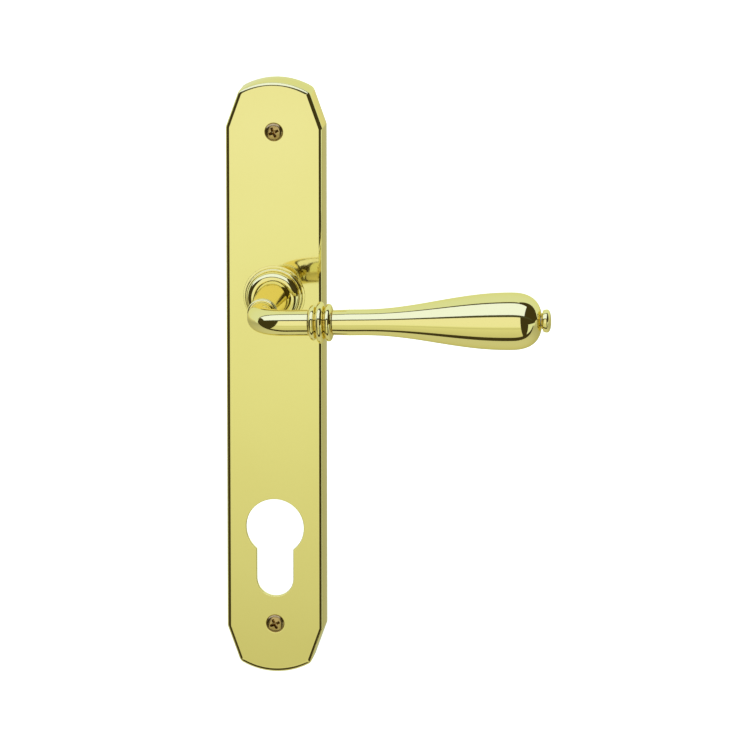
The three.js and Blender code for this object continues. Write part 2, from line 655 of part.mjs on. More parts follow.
function neckProfile() {
  const bellStart = RIM_BACK + RIM_WIDTH + SHOULDER_RISE;
  const bell = [];
  for (let k = 1; k <= BELL_STEPS; k += 1) {
    const share = k / BELL_STEPS;
    const radius = TUBE_RADIUS + (SHOULDER_END_RADIUS - TUBE_RADIUS) * (1 - share) ** BELL_SWEEP;
    bell.push([radius, bellStart + (BELL_END - bellStart) * share]);
  }
  return [
    [0, LAYER.journalEnd],
    [JOURNAL_RADIUS - JOURNAL_CHAMFER, LAYER.journalEnd],
    [JOURNAL_RADIUS, LAYER.journalEnd + JOURNAL_CHAMFER],
    [JOURNAL_RADIUS, LAYER.grooveBack],
    [GROOVE_RADIUS, LAYER.grooveBack],
    [GROOVE_RADIUS, LAYER.grooveFront],
    [JOURNAL_RADIUS, LAYER.grooveFront],
    [JOURNAL_RADIUS, RIM_BACK],
    [RIM_RADIUS, RIM_BACK],
    ...shoulder(RIM_RADIUS, RIM_BACK + RIM_WIDTH, SHOULDER_END_RADIUS, SHOULDER_RISE),
    ...bell,
    ...bead(BELL_END, ROOT_BEAD_MIDDLE, TUBE_RADIUS, ROOT_BEAD_CROWN).slice(1),
    ...bead(ROOT_BEAD_MIDDLE, ROOT_BEAD_END, TUBE_RADIUS, ROOT_BEAD_CROWN).slice(1),
    [0, ROOT_BEAD_END],
  ];
}

// Centre line of the elbow: straight off the shank, a quarter bend, then straight along the arm.
function elbowPath() {
  const towardsHand = new THREE.Vector3(0, -1, 0);
  const bendStart = ARM_HEIGHT - BEND_RADIUS;
  const bendCentre = towardsHand.clone().multiplyScalar(bendStart).addScaledVector(armDirection, BEND_RADIUS);
  const points = [];
  for (const height of [BELL_END, (BELL_END + bendStart) / 2]) {
    points.push(towardsHand.clone().multiplyScalar(height));
  }
  for (let k = 0; k <= BEND_STEPS; k += 1) {
    const angle = (QUARTER_TURN * k) / BEND_STEPS;
    const point = bendCentre.clone().addScaledVector(armDirection, -BEND_RADIUS * Math.cos(angle));
    points.push(point.addScaledVector(towardsHand, BEND_RADIUS * Math.sin(angle)));
  }
  const armPoint = (distance) => towardsHand.clone().multiplyScalar(ARM_HEIGHT)
    .addScaledVector(armDirection, distance);
  points.push(armPoint((BEND_RADIUS + TUBE_END) / 2), armPoint(TUBE_END));
  return new THREE.CatmullRomCurve3(points);
}

// Moves a piece made on an arm along +X at the origin to the raised arm in front of the plate.
function ontoArm(geometry) {
  return geometry.rotateY(-LEVER_RISE).translate(0, -ARM_HEIGHT, 0);
}

function leverNeck() {
  const shank = turnedOnSpindle(neckProfile());
  const section = new THREE.Shape().absarc(0, 0, TUBE_RADIUS, 0, FULL_TURN, false);
  const elbow = new THREE.ExtrudeGeometry(section, {
    steps: ELBOW_STEPS,
    curveSegments: TUBE_ROUND / 2,
    extrudePath: elbowPath(),
  });
  const socket = squareSocket(0, SOCKET_DEPTH_IN_NECK);
  const setScrewHole = new THREE.CylinderGeometry(
    SET_SCREW_RADIUS + FIT_GAP, SET_SCREW_RADIUS + FIT_GAP, 2 * RIM_RADIUS, SMALL_ROUND);
  setScrewHole.rotateX(QUARTER_TURN).translate(0, -SET_SCREW_HEIGHT, -RIM_RADIUS);
  const studHole = ontoArm(turnedOnArm([
    [0, STUD_START - PIECE_GAP],
    [STUD_HOLE_RADIUS, STUD_START - PIECE_GAP],
    [STUD_HOLE_RADIUS, TUBE_END + CUT_MARGIN],
    [0, TUBE_END + CUT_MARGIN],
  ], SMALL_ROUND));
  return shaped(shank, { add: [elbow], remove: [socket, setScrewHole, studHole] });
}

function spindleSetScrew() {
  const inner = SPINDLE_SIZE / 2 + FIT_GAP;
  const outer = SHOULDER_END_RADIUS - 1;
  const chamfer = 0.5;
  const socketRadius = 1.1;
  const socketDepth = 1.6;
  const hexagon = 6;
  const body = turned([
    [0, inner],
    [SET_SCREW_RADIUS - chamfer, inner],
    [SET_SCREW_RADIUS, inner + chamfer],
    [SET_SCREW_RADIUS, outer],
    [0, outer],
  ], SMALL_ROUND);
  const socket = new THREE.CylinderGeometry(socketRadius, socketRadius, 2 * socketDepth, hexagon);
  socket.translate(0, outer, 0);
  return shaped(body, { remove: [socket] }).rotateX(-QUARTER_TURN).translate(0, -SET_SCREW_HEIGHT, 0);
}

// Square bar with small chamfers on its ends.
function spindle() {
  const chamfer = 0.6;
  const front = SOCKET_DEPTH_IN_NECK - PIECE_GAP;
  const half = SPINDLE_SIZE / 2 - chamfer;
  const square = new THREE.Shape();
  square.moveTo(half, -half);
  square.lineTo(half, half);
  square.lineTo(-half, half);
  square.lineTo(-half, -half);
  square.closePath();
  const bar = new THREE.ExtrudeGeometry(square, {
    depth: SPINDLE_LENGTH - 2 * chamfer,
    bevelThickness: chamfer,
    bevelSize: chamfer,
    bevelSegments: 1,
  });
  return bar.rotateX(QUARTER_TURN).translate(0, -(front - SPINDLE_LENGTH + chamfer), 0);
}

// Three beads, the middle one largest.
const RING_START = TUBE_END + PIECE_GAP;
const BEAD_CROWNS = [6.75, 8, 7.2];
const BEAD_WIDTHS = [2.4, 3.2, 2.6];
const BEAD_ROOT = 5.4;

function beadRing() {
  const spare = RING_END - RING_START - BEAD_WIDTHS.reduce((sum, width) => sum + width, 0);
  const groove = spare / (BEAD_WIDTHS.length + 1);
  const profile = [[STUD_HOLE_RADIUS, RING_START], [BEAD_ROOT, RING_START]];
  let place = RING_START + groove;
  BEAD_CROWNS.forEach((crown, index) => {
    profile.push(...bead(place, place + BEAD_WIDTHS[index], BEAD_ROOT, crown));
    place += BEAD_WIDTHS[index] + groove;
  });
  profile.push([BEAD_ROOT, RING_END], [STUD_HOLE_RADIUS, RING_END], [STUD_HOLE_RADIUS, RING_START]);
  return ontoArm(turnedOnArm(profile));
}

const GRIP_START = RING_END + PIECE_GAP;
const GRIP_START_RADIUS = 4.7;
const GRIP_LEAD_IN = 6;
const SWELL_STEPS = 9;
const END_STEPS = 7;
const FINIAL_SEAT_RADIUS = 3.2;

// Radius of the grip at a distance along the arm.
function gripRadius(distance) {
  if (distance < GRIP_START + GRIP_LEAD_IN) {
    const share = (distance - GRIP_START) / GRIP_LEAD_IN;
    return GRIP_START_RADIUS + (TUBE_RADIUS - GRIP_START_RADIUS) * Math.sin(share * QUARTER_TURN);
  }
  if (distance < GRIP_SWELL_START) {
    return TUBE_RADIUS;
  }
  if (distance < GRIP_SWELL_END) {
    const share = (distance - GRIP_SWELL_START) / (GRIP_SWELL_END - GRIP_SWELL_START);
    return TUBE_RADIUS + ((GRIP_RADIUS - TUBE_RADIUS) * (1 - Math.cos(Math.PI * share))) / 2;
  }
  const share = Math.min(1, (distance - GRIP_SWELL_END) / (GRIP_END - GRIP_SWELL_END));
  return GRIP_RADIUS * (1 - share ** GRIP_END_BLUNTNESS) ** (1 / GRIP_END_BLUNTNESS);
}

function grip() {
  const places = [GRIP_START, GRIP_START + GRIP_LEAD_IN / 2, GRIP_START + GRIP_LEAD_IN];
  for (let k = 0; k <= SWELL_STEPS; k += 1) {
    places.push(GRIP_SWELL_START + ((GRIP_SWELL_END - GRIP_SWELL_START) * k) / SWELL_STEPS);
  }
  for (let k = 1; k < END_STEPS; k += 1) {
    places.push(GRIP_SWELL_END + (GRIP_END - GRIP_SWELL_END) * Math.sin((QUARTER_TURN * k) / END_STEPS));
  }
  const profile = [[STUD_HOLE_RADIUS, GRIP_START]];
  profile.push(...places.map((place) => [gripRadius(place), place]));
  profile.push([FINIAL_SEAT_RADIUS, GRIP_END], [STUD_HOLE_RADIUS, GRIP_END], [STUD_HOLE_RADIUS, GRIP_START]);
  return ontoArm(turnedOnArm(profile));
}

const FINIAL_START = GRIP_END + PIECE_GAP;
const FINIAL_RADIUS = 4.4;
const STUD_END = LEVER_REACH - 1.2;

function gripStud() {
  const chamfer = 0.4;
  return ontoArm(turnedOnArm([
    [0, STUD_START],
    [STUD_RADIUS - chamfer, STUD_START],
    [STUD_RADIUS, STUD_START + chamfer],
    [STUD_RADIUS, STUD_END - chamfer],
    [STUD_RADIUS - chamfer, STUD_END],
    [0, STUD_END],
  ], SMALL_ROUND));
}

function finial() {
  const seat = FINIAL_RADIUS - 1;
  const crownStart = FINIAL_START + 1.1;
  const flank = 0.5;
  const holeEnd = STUD_END + PIECE_GAP;
  return ontoArm(turnedOnArm([
    [STUD_HOLE_RADIUS, FINIAL_START],
    [seat, FINIAL_START],
    [FINIAL_RADIUS - flank / 2, FINIAL_START + flank],
    [FINIAL_RADIUS, crownStart],
    ...shoulder(FINIAL_RADIUS, crownStart, 0, LEVER_REACH - crownStart).slice(1),
    [0, holeEnd],
    [STUD_HOLE_RADIUS, holeEnd],
    [STUD_HOLE_RADIUS, FINIAL_START],
  ], TUBE_ROUND));
}

// ---------------------------------------------------------------- assembly

const handle = new THREE.Group();

const plateAssembly = new THREE.Group();
plateAssembly.add(
  named('face_plate', facePlate(), polishedBrass),
  named('sub_plate', carrier(), nylon),
  named('guide_collar', guideCollar(), polishedBrass),
  named('collar_nut', collarNut(), innerBrass),
  named('collar_bush', collarBush(), bearingNylon),
  named('spring_housing', springHousing(), plainSteel),
  named('spring_cover', springCover(), plainSteel),
  named('return_spring', returnSpring(), springSteel),
  named('stop_pin_rest', stopPin(-1), plainSteel),
  named('stop_pin_down', stopPin(1), plainSteel),
  named('housing_screw_upper', housingScrew(HOUSING_SCREW_Z), plainSteel),
  named('housing_screw_lower', housingScrew(-HOUSING_SCREW_Z), plainSteel),
  named('fixing_screw_top', fixingScrew(FIXING_TOP_Z), screwBrass),
  named('fixing_screw_bottom', fixingScrew(FIXING_BOTTOM_Z), screwBrass),
);

const leverAssembly = new THREE.Group();
leverAssembly.add(
  named('lever_neck', leverNeck(), polishedBrass),
  named('bead_ring', beadRing(), polishedBrass),
  named('grip', grip(), polishedBrass),
  named('grip_stud', gripStud(), plainSteel),
  named('finial', finial(), polishedBrass),
  named('spindle', spindle(), plainSteel),
  named('spindle_set_screw', spindleSetScrew(), plainSteel),
  named('thrust_washer', thrustWasher(), innerBrass),
  named('retaining_ring', retainingRing(), springSteel),
  named('spring_driver', springDriver(), castZinc),
);

handle.add(plateAssembly, leverAssembly);

export default handle;
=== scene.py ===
"""Polished brass door lever on a long hollow backplate with a profile cylinder cut-out.

Shapes are made in millimetres in the part's own axes and scaled to metres when they become
objects. +X runs along the lever, +Z is up and the hand is on the -Y side. A height is a distance
in front of the door, so a height h lies at y = -h.
"""

import json
import math

import bmesh
import bpy
from mathutils import Matrix, Vector


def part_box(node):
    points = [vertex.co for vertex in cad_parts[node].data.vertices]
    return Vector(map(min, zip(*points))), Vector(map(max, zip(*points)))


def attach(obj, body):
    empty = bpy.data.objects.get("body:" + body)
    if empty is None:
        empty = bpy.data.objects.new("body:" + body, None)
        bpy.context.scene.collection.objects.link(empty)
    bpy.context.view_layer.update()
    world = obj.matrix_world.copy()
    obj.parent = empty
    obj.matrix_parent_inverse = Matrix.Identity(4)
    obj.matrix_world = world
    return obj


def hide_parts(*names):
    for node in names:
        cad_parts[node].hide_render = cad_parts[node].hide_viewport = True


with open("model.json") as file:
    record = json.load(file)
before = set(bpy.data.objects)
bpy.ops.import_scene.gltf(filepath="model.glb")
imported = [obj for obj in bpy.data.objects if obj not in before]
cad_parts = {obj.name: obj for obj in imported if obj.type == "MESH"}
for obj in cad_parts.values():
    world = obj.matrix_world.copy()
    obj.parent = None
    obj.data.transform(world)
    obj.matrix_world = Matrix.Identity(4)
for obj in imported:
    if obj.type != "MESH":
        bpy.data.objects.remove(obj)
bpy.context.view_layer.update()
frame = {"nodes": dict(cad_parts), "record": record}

MM = 0.001
FULL_TURN = 2 * math.pi
QUARTER_TURN = math.pi / 2


def box_mm(node):
    """Lowest and highest corner of a CAD node, in millimetres."""
    low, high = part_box(node)
    return low / MM, high / MM


# ---------------------------------------------------------------- places taken from the frame

plate_low, plate_high = box_mm("face_plate")
HALF_WIDTH = plate_high.x
HALF_HEIGHT = (plate_high.z - plate_low.z) / 2
PLATE_CENTRE_Z = (plate_high.z + plate_low.z) / 2
PLATE_DEPTH = -plate_low.y

screw_zs = {}
for screw in ("fixing_screw_top", "fixing_screw_bottom"):
    screw_low, screw_high = box_mm(screw)
    screw_zs[screw] = (screw_low.z + screw_high.z) / 2
SCREW_FRONT = -screw_low.y
SCREW_TIP = -screw_high.y
SCREW_HEAD_RADIUS = screw_high.x

ring_low, ring_high = box_mm("bead_ring")
ARM_HEIGHT = -(ring_low.y + ring_high.y) / 2
LEVER_RISE = math.atan2((ring_low.z + ring_high.z) / 2, (ring_low.x + ring_high.x) / 2)

# ---------------------------------------------------------------- sizes of the visible shapes

# Backplate outline, as in the part.
CHAMFER_WIDTH = 5.0
CHAMFER_HEIGHT = 14.0
END_ARC_RISE = 3.9
PLATE_WALL = 1.6
HOLLOW_TOP = PLATE_DEPTH - PLATE_WALL

# Edge of the face: a narrow flat bevel, then a round down to the side wall.
EDGE_INSET = 1.5
BEVEL_WIDTH = 0.8
BEVEL_DROP = 0.32
EDGE_ROUND_DROP = 1.2
FACE_CORNER_RADIUS = 1.4

# Cylinder cut-out.
CUTOUT_RADIUS = 11.3
CUTOUT_LEG_WIDTH = 14.3
CUTOUT_HEIGHT = 38.8
CUTOUT_Z = -92.0

COLLAR_HOLE_RADIUS = 9.35
FIXING_HOLE_RADIUS = 2.2

# Lever.
TUBE_RADIUS = 4.95
BEND_RADIUS = 12.0
TUBE_END = 20.3
RING_START = 20.6
RING_END = 29.5
GRIP_START = 29.8
GRIP_END = 109.1
LEVER_REACH = 112.8
GRIP_RADIUS = 10.95
GRIP_ROOT_RADIUS = 4.7
SWELL_START = 41.0
SWELL_END = 97.0
GRIP_BLUNTNESS = 2.6
STUD_HOLE_RADIUS = 2.05

# How far a softened corner starts from the sharp one: from fine metal edges to moulded ones.
SMALL_EDGE = 0.1
FINE_EDGE = 0.12
TURNED_EDGE = 0.15
FACED_EDGE = 0.2
MOULDED_EDGE = 0.3

# Points round a turned body, and along each softened corner.
ROUND = 128
SMALL_ROUND = 64
SOFT_STEPS = 4
# Corners that turn by less stay as they are, and no corner takes up more of a side than this.
LEAST_TURN = math.radians(14)
SIDE_SHARE = 0.45
# Edges that turn by more are shaded sharp.
SHARP_ANGLE = math.radians(32)


# ---------------------------------------------------------------- mesh making


def heading(angle):
    """Unit vector in the plane of an outline."""
    return Vector((math.cos(angle), math.sin(angle)))


def curve(start, at, end, share):
    """A point on the short curve that leaves start and reaches end, both aimed at one corner."""
    return start * (1 - share) ** 2 + at * 2 * share * (1 - share) + end * share**2


def soften(corners, radius):
    """A polyline with its sharper corners replaced by short curves that start radius away."""
    corners = [Vector(c) for c in corners]
    points = [corners[0]]
    for before, at, after in zip(corners, corners[1:], corners[2:]):
        towards_before, towards_after = before - at, after - at
        if (-towards_before).angle(towards_after, 0) < LEAST_TURN:
            points.append(at)
            continue
        start = at + towards_before.normalized() * min(radius, SIDE_SHARE * towards_before.length)
        end = at + towards_after.normalized() * min(radius, SIDE_SHARE * towards_after.length)
        points += [curve(start, at, end, k / SOFT_STEPS) for k in range(SOFT_STEPS + 1)]
    points.append(corners[-1])
    return [tuple(p) for p in points]


def bead(start, end, root, crown, steps=14):
    """Profile of a half-round bead, as (radius, place) points."""
    points = []
    for k in range(steps + 1):
        angle = math.pi * k / steps
        place = start + (end - start) * (1 - math.cos(angle)) / 2
        points.append((root + (crown - root) * math.sin(angle), place))
    return points


def between(start, end, count):
    """Points from start to end along a line, without the end."""
    start, end = Vector(start), Vector(end)
    return [start.lerp(end, k / count) for k in range(count)]


def skin(bm, first, second):
    """Faces between two rings of equal count, or between a ring and a single point."""
    count = max(len(first), len(second))
    if count == 1:
        return
    for k in range(count):
        after = (k + 1) % count
        corners = [first[k % len(first)], first[after % len(first)]]
        corners += [second[after % len(second)], second[k % len(second)]]
        bm.faces.new(list(dict.fromkeys(corners)))


def skin_all(bm, rings):
    """Faces between each ring and the next."""
    for first, second in zip(rings, rings[1:]):
        skin(bm, first, second)


def ring_edges(bm, ring):
    """The edges round a ring of points, made where they are missing."""
    return [bm.edges.get((a, b)) or bm.edges.new((a, b)) for a, b in zip(ring, ring[1:] + ring[:1])]


def fill(bm, rings):
    """Triangles over the flat region inside the first ring and outside the others."""
    edges = [edge for ring in rings for edge in ring_edges(bm, ring)]
    bmesh.ops.triangle_fill(bm, use_beauty=True, edges=edges)


def flat_ring(bm, loop, height):
    """A ring at a height from a loop of (x, z) points."""
    return [bm.verts.new((x, -height, z)) for x, z in loop]


def walls(bm, loop_at, stations):
    """Skins a loop through (inset, height) stations and returns its first and last ring."""
    rings = [flat_ring(bm, loop_at(inset), height) for inset, height in stations]
    skin_all(bm, rings)
    return rings[0], rings[-1]


def on_spindle(across, up, along):
    """A point beside the spindle axis, at a height above the door."""
    return Vector((across, -along, up))


ARM_DIRECTION = Vector((math.cos(LEVER_RISE), 0, math.sin(LEVER_RISE)))
TOWARDS_HAND = Vector((0, -1, 0))
ARM_UP = Vector((-math.sin(LEVER_RISE), 0, math.cos(LEVER_RISE)))


def on_arm(across, up, along):
    """A point beside the arm's axis, at a distance along the arm from the spindle axis."""
    return TOWARDS_HAND * (ARM_HEIGHT + across) + ARM_UP * up + ARM_DIRECTION * along


def swept(bm, profile, place, count=ROUND):
    """Rings of (radius, along) points round an axis, skinned from the first to the last."""
    rings = []
    for radius, along in profile:
        turns = count if radius > 0 else 1
        angles = [FULL_TURN * k / turns for k in range(turns)]
        places = [place(radius * math.cos(a), radius * math.sin(a), along) for a in angles]
        rings.append([bm.verts.new(p) for p in places])
    skin_all(bm, rings)
    return rings


def turned(bm, profile, place, count=ROUND):
    """A body turned from (radius, along) points. Without an axis point at its ends it is a ring."""
    rings = swept(bm, profile, place, count)
    if len(rings[0]) > 1 and len(rings[-1]) > 1:
        skin(bm, rings[-1], rings[0])


def mark_creases(bm):
    """Smooth shading, broken at open edges and at sharp ones."""
    for face in bm.faces:
        face.smooth = True
    for edge in bm.edges:
        edge.smooth = len(edge.link_faces) == 2 and edge.calc_face_angle(0) < SHARP_ANGLE


def scene_object(name, data):
    """An object linked into the scene."""
    made = bpy.data.objects.new(name, data)
    bpy.context.scene.collection.objects.link(made)
    return made


def mesh_object(bm, name):
    """An object from a mesh that is in its final units."""
    mesh = bpy.data.meshes.new(name)
    bm.to_mesh(mesh)
    bm.free()
    return scene_object(name, mesh)


def object_from(bm, name):
    """A smooth-shaded object from a mesh in millimetres, with its creases marked by angle."""
    bmesh.ops.recalc_face_normals(bm, faces=bm.faces)
    mark_creases(bm)
    bmesh.ops.scale(bm, vec=(MM, MM, MM), verts=bm.verts)
    return mesh_object(bm, name)


def cut(piece, *tools):
    """Cuts tool objects out of a piece, removes them, and marks the new creases."""
    for tool in tools:
        modifier = piece.modifiers.new("cut", "BOOLEAN")
        modifier.object = tool
        modifier.operation = "DIFFERENCE"
        modifier.solver = "EXACT"
    graph = bpy.context.evaluated_depsgraph_get()
    mesh = bpy.data.meshes.new_from_object(piece.evaluated_get(graph))
    piece.modifiers.clear()
    bm = bmesh.new()
    bm.from_mesh(mesh)
    mark_creases(bm)
    bm.to_mesh(piece.data)
    bm.free()
    for tool in tools:
        bpy.data.objects.remove(tool)


def place_piece(piece, body, node, material):
    """Rides a piece on a body in place of a CAD node, with its finish."""
    piece.data.materials.clear()
    piece.data.materials.append(material)
    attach(piece, body)
    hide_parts(node)


# ---------------------------------------------------------------- materials


class Nodes:
    """A material's node tree, with short ways to add what the finishes here share."""

    def __init__(self, name):
        """A new material with its shader and its object coordinates."""
        self.material = bpy.data.materials.new(name)
        self.material.use_nodes = True
        self.tree = self.material.node_tree
        self.shader = self.tree.nodes["Principled BSDF"]
        self.coordinates = self.tree.nodes.new("ShaderNodeTexCoord").outputs["Object"]

    def link(self, output, target):
        """Joins an output to an input."""
        self.tree.links.new(output, target)

    def stretched(self, scale):
        """Object coordinates scaled per axis."""
        mapping = self.tree.nodes.new("ShaderNodeMapping")
        mapping.inputs["Scale"].default_value = scale
        self.link(self.coordinates, mapping.inputs["Vector"])
        return mapping.outputs["Vector"]

    def noise(self, scale, detail, coordinates=None, rough=0.5):
        """Smooth noise round 0.5."""
        node = self.tree.nodes.new("ShaderNodeTexNoise")
        node.inputs["Scale"].default_value = scale
        node.inputs["Detail"].default_value = detail
        node.inputs["Roughness"].default_value = rough
        self.link(coordinates or self.coordinates, node.inputs["Vector"])
        return node.outputs["Fac"]

    def ranged(self, value, low, high, from_low=0.3, from_high=0.7):
        """A value spread from one range to another, which holds at the ends."""
        node = self.tree.nodes.new("ShaderNodeMapRange")
        node.inputs["From Min"].default_value = from_low
        node.inputs["From Max"].default_value = from_high
        node.inputs["To Min"].default_value = low
        node.inputs["To Max"].default_value = high
        self.link(value, node.inputs["Value"])
        return node.outputs["Result"]

    def blend(self, factor, first, second):
        """A colour between two colours or colour outputs."""
        node = self.tree.nodes.new("ShaderNodeMix")
        node.data_type = "RGBA"
        self.link(factor, node.inputs["Factor"])
        for socket, colour in ((node.inputs[6], first), (node.inputs[7], second)):
            if isinstance(colour, bpy.types.NodeSocket):
                self.link(colour, socket)
            else:
                socket.default_value = (*colour, 1)
        return node.outputs[2]

    def total(self, first, second):
        """The sum of two values."""
        node = self.tree.nodes.new("ShaderNodeMath")
        node.operation = "ADD"
        self.link(first, node.inputs[0])
        self.link(second, node.inputs[1])
        return node.outputs["Value"]

    def bump(self, height, distance, strength):
        """Fine relief on the shader's normal."""
        node = self.tree.nodes.new("ShaderNodeBump")
        node.inputs["Distance"].default_value = distance
        node.inputs["Strength"].default_value = strength
        self.link(height, node.inputs["Height"])
        self.link(node.outputs["Normal"], self.shader.inputs["Normal"])

    def set(self, **values):
        """Values on the shader's own sockets, by name with underscores for spaces."""
        for name, value in values.items():
            self.shader.inputs[name.replace("_", " ")].default_value = value


METAL_IOR = 1.5
NYLON_IOR = 1.53
# Noise scales across and along the hairlines of a polish, per metre.
HAIRLINE_SCALE = 2600.0
HAIRLINE_LENGTH_SCALE = 40.0
# Height of a surface's fine relief, in metres.
POLISH_RELIEF = 0.000001
MACHINED_RELIEF = 0.00003
CAST_RELIEF = 0.00008
MOULDED_RELIEF = 0.00004
# Noise scales, per metre: clouding, handling and orange peel of a polish, mottling of worked
# metal, flow lines, spark texture and sink marks of a moulding, and fibres of paper.
CLOUD_SCALE = 22.0
HANDLING_SCALE = 60.0
PEEL_SCALE = 160.0
MOTTLE_SCALE = 140.0
SCREW_MOTTLE_SCALE = 500.0
FLOW_SCALE = 35.0
SPARK_SCALE = 2200.0
SINK_SCALE = 70.0
FIBRE_SCALE = 300.0
# Fine grain runs at a multiple of the mottling.
GRAIN_MULTIPLE = 8
LACQUER_WEIGHT = 0.04
LACQUER_ROUGHNESS = 0.03
EVEN_GRAIN = (1.0, 1.0, 1.0)
DRAWN_GRAIN = (1.0, 0.04, 1.0)


def polished_metal(name, tone, deep_tone, edge_tint, roughness, grain_axis=2):
    """Mirror-polished metal: faint clouding, hairlines along one axis and a little orange peel."""
    nodes = Nodes(name)
    nodes.set(Metallic=1.0, IOR=METAL_IOR, Specular_Tint=(*edge_tint, 1))
    nodes.set(Coat_Weight=LACQUER_WEIGHT, Coat_Roughness=LACQUER_ROUGHNESS)
    cloud = nodes.ranged(nodes.noise(CLOUD_SCALE, 3.0), 0.0, 1.0)
    nodes.link(nodes.blend(cloud, tone, deep_tone), nodes.shader.inputs["Base Color"])
    stretch = [HAIRLINE_SCALE] * 3
    stretch[grain_axis] = HAIRLINE_LENGTH_SCALE
    hairlines = nodes.noise(1.0, 3.0, nodes.stretched(stretch))
    low, high = roughness
    handled = nodes.ranged(nodes.noise(HANDLING_SCALE, 5.0), low, high)
    scratched = nodes.total(handled, nodes.ranged(hairlines, 0.0, 0.02))
    nodes.link(scratched, nodes.shader.inputs["Roughness"])
    peel = nodes.ranged(nodes.noise(PEEL_SCALE, 2.0), 0.0, 1.0, 0.0, 1.0)
    relief = nodes.total(peel, nodes.ranged(hairlines, 0.0, 0.1, 0.0, 1.0))
    nodes.bump(relief, POLISH_RELIEF, 0.4)
    return nodes.material


def worked_metal(
    name, tone, deep_tone, roughness, scale=MOTTLE_SCALE, grain=EVEN_GRAIN, depth=MACHINED_RELIEF
):
    """Plain machined, cast or drawn metal: mottled tone and a visible fine grain."""
    nodes = Nodes(name)
    nodes.set(Metallic=1.0, IOR=METAL_IOR)
    mottle = nodes.ranged(nodes.noise(scale, 6.0), 0.0, 1.0)
    nodes.link(nodes.blend(mottle, tone, deep_tone), nodes.shader.inputs["Base Color"])
    fine = nodes.noise(scale * GRAIN_MULTIPLE, 5.0, nodes.stretched(grain), 0.6)
    low, high = roughness
    nodes.link(nodes.ranged(fine, low, high), nodes.shader.inputs["Roughness"])
    nodes.bump(fine, depth, 0.35)
    return nodes.material


def moulded_plastic(name, tone, deep_tone, roughness):
    """Injection-moulded nylon: fine spark texture, slight sink marks and a soft shine."""
    nodes = Nodes(name)
    nodes.set(Metallic=0.0, IOR=NYLON_IOR)
    streaks = nodes.noise(FLOW_SCALE, 4.0, nodes.stretched((1.0, 1.0, 0.3)))
    flow = nodes.ranged(streaks, 0.0, 1.0)
    nodes.link(nodes.blend(flow, tone, deep_tone), nodes.shader.inputs["Base Color"])
    spark = nodes.noise(SPARK_SCALE, 3.0)
    low, high = roughness
    nodes.link(nodes.ranged(spark, low, high), nodes.shader.inputs["Roughness"])
    sink = nodes.ranged(nodes.noise(SINK_SCALE, 2.0), 0.0, 3.0, 0.0, 1.0)
    nodes.bump(nodes.total(spark, sink), MOULDED_RELIEF, 0.5)
    return nodes.material


BRASS = (0.89, 0.79, 0.37)
BRASS_DEEP = (0.875, 0.77, 0.345)
BRASS_EDGE = (0.95, 0.88, 0.55)

plate_brass = polished_metal("plate_brass", BRASS, BRASS_DEEP, BRASS_EDGE, (0.03, 0.05))
lever_brass = polished_metal(
    "lever_brass", BRASS, BRASS_DEEP, BRASS_EDGE, (0.025, 0.045), grain_axis=0
)
screw_brass = worked_metal(
    "screw_brass", (0.6, 0.44, 0.2), (0.42, 0.29, 0.12), (0.14, 0.26), scale=SCREW_MOTTLE_SCALE
)
inner_brass = worked_metal("inner_brass", (0.62, 0.47, 0.2), (0.45, 0.33, 0.13), (0.3, 0.45))
plain_steel = worked_metal(
    "plain_steel", (0.56, 0.57, 0.59), (0.42, 0.43, 0.46), (0.24, 0.4), grain=DRAWN_GRAIN
)
spring_steel = worked_metal("spring_steel", (0.3, 0.31, 0.34), (0.2, 0.2, 0.23), (0.25, 0.4))
cast_zinc = worked_metal(
    "cast_zinc", (0.5, 0.51, 0.52), (0.36, 0.37, 0.39), (0.45, 0.6), depth=CAST_RELIEF
)
carrier_nylon = moulded_plastic(
    "carrier_nylon", (0.028, 0.028, 0.03), (0.02, 0.02, 0.021), (0.42, 0.55)
)
bearing_nylon = moulded_plastic(
    "bearing_nylon", (0.8, 0.78, 0.7), (0.74, 0.71, 0.62), (0.35, 0.48)
)

finishes = {
    "polished_brass": plate_brass,
    "inner_brass": inner_brass,
    "screw_brass": screw_brass,
    "carrier_nylon": carrier_nylon,
    "bearing_nylon": bearing_nylon,
    "plain_steel": plain_steel,
    "spring_steel": spring_steel,
    "cast_zinc": cast_zinc,
}

# ---------------------------------------------------------------- outlines

# Points along the straights, corners and arcs of the outlines.
SIDE_POINTS = 10
CHAMFER_POINTS = 6
CORNER_POINTS = 6
END_ARC_POINTS = 28
CUTOUT_HEAD_POINTS = 96
CUTOUT_LEG_POINTS = 8
CUTOUT_FOOT_POINTS = 48
BOX_CORNER_POINTS = 4
LEAST_BOX_CORNER = 0.05


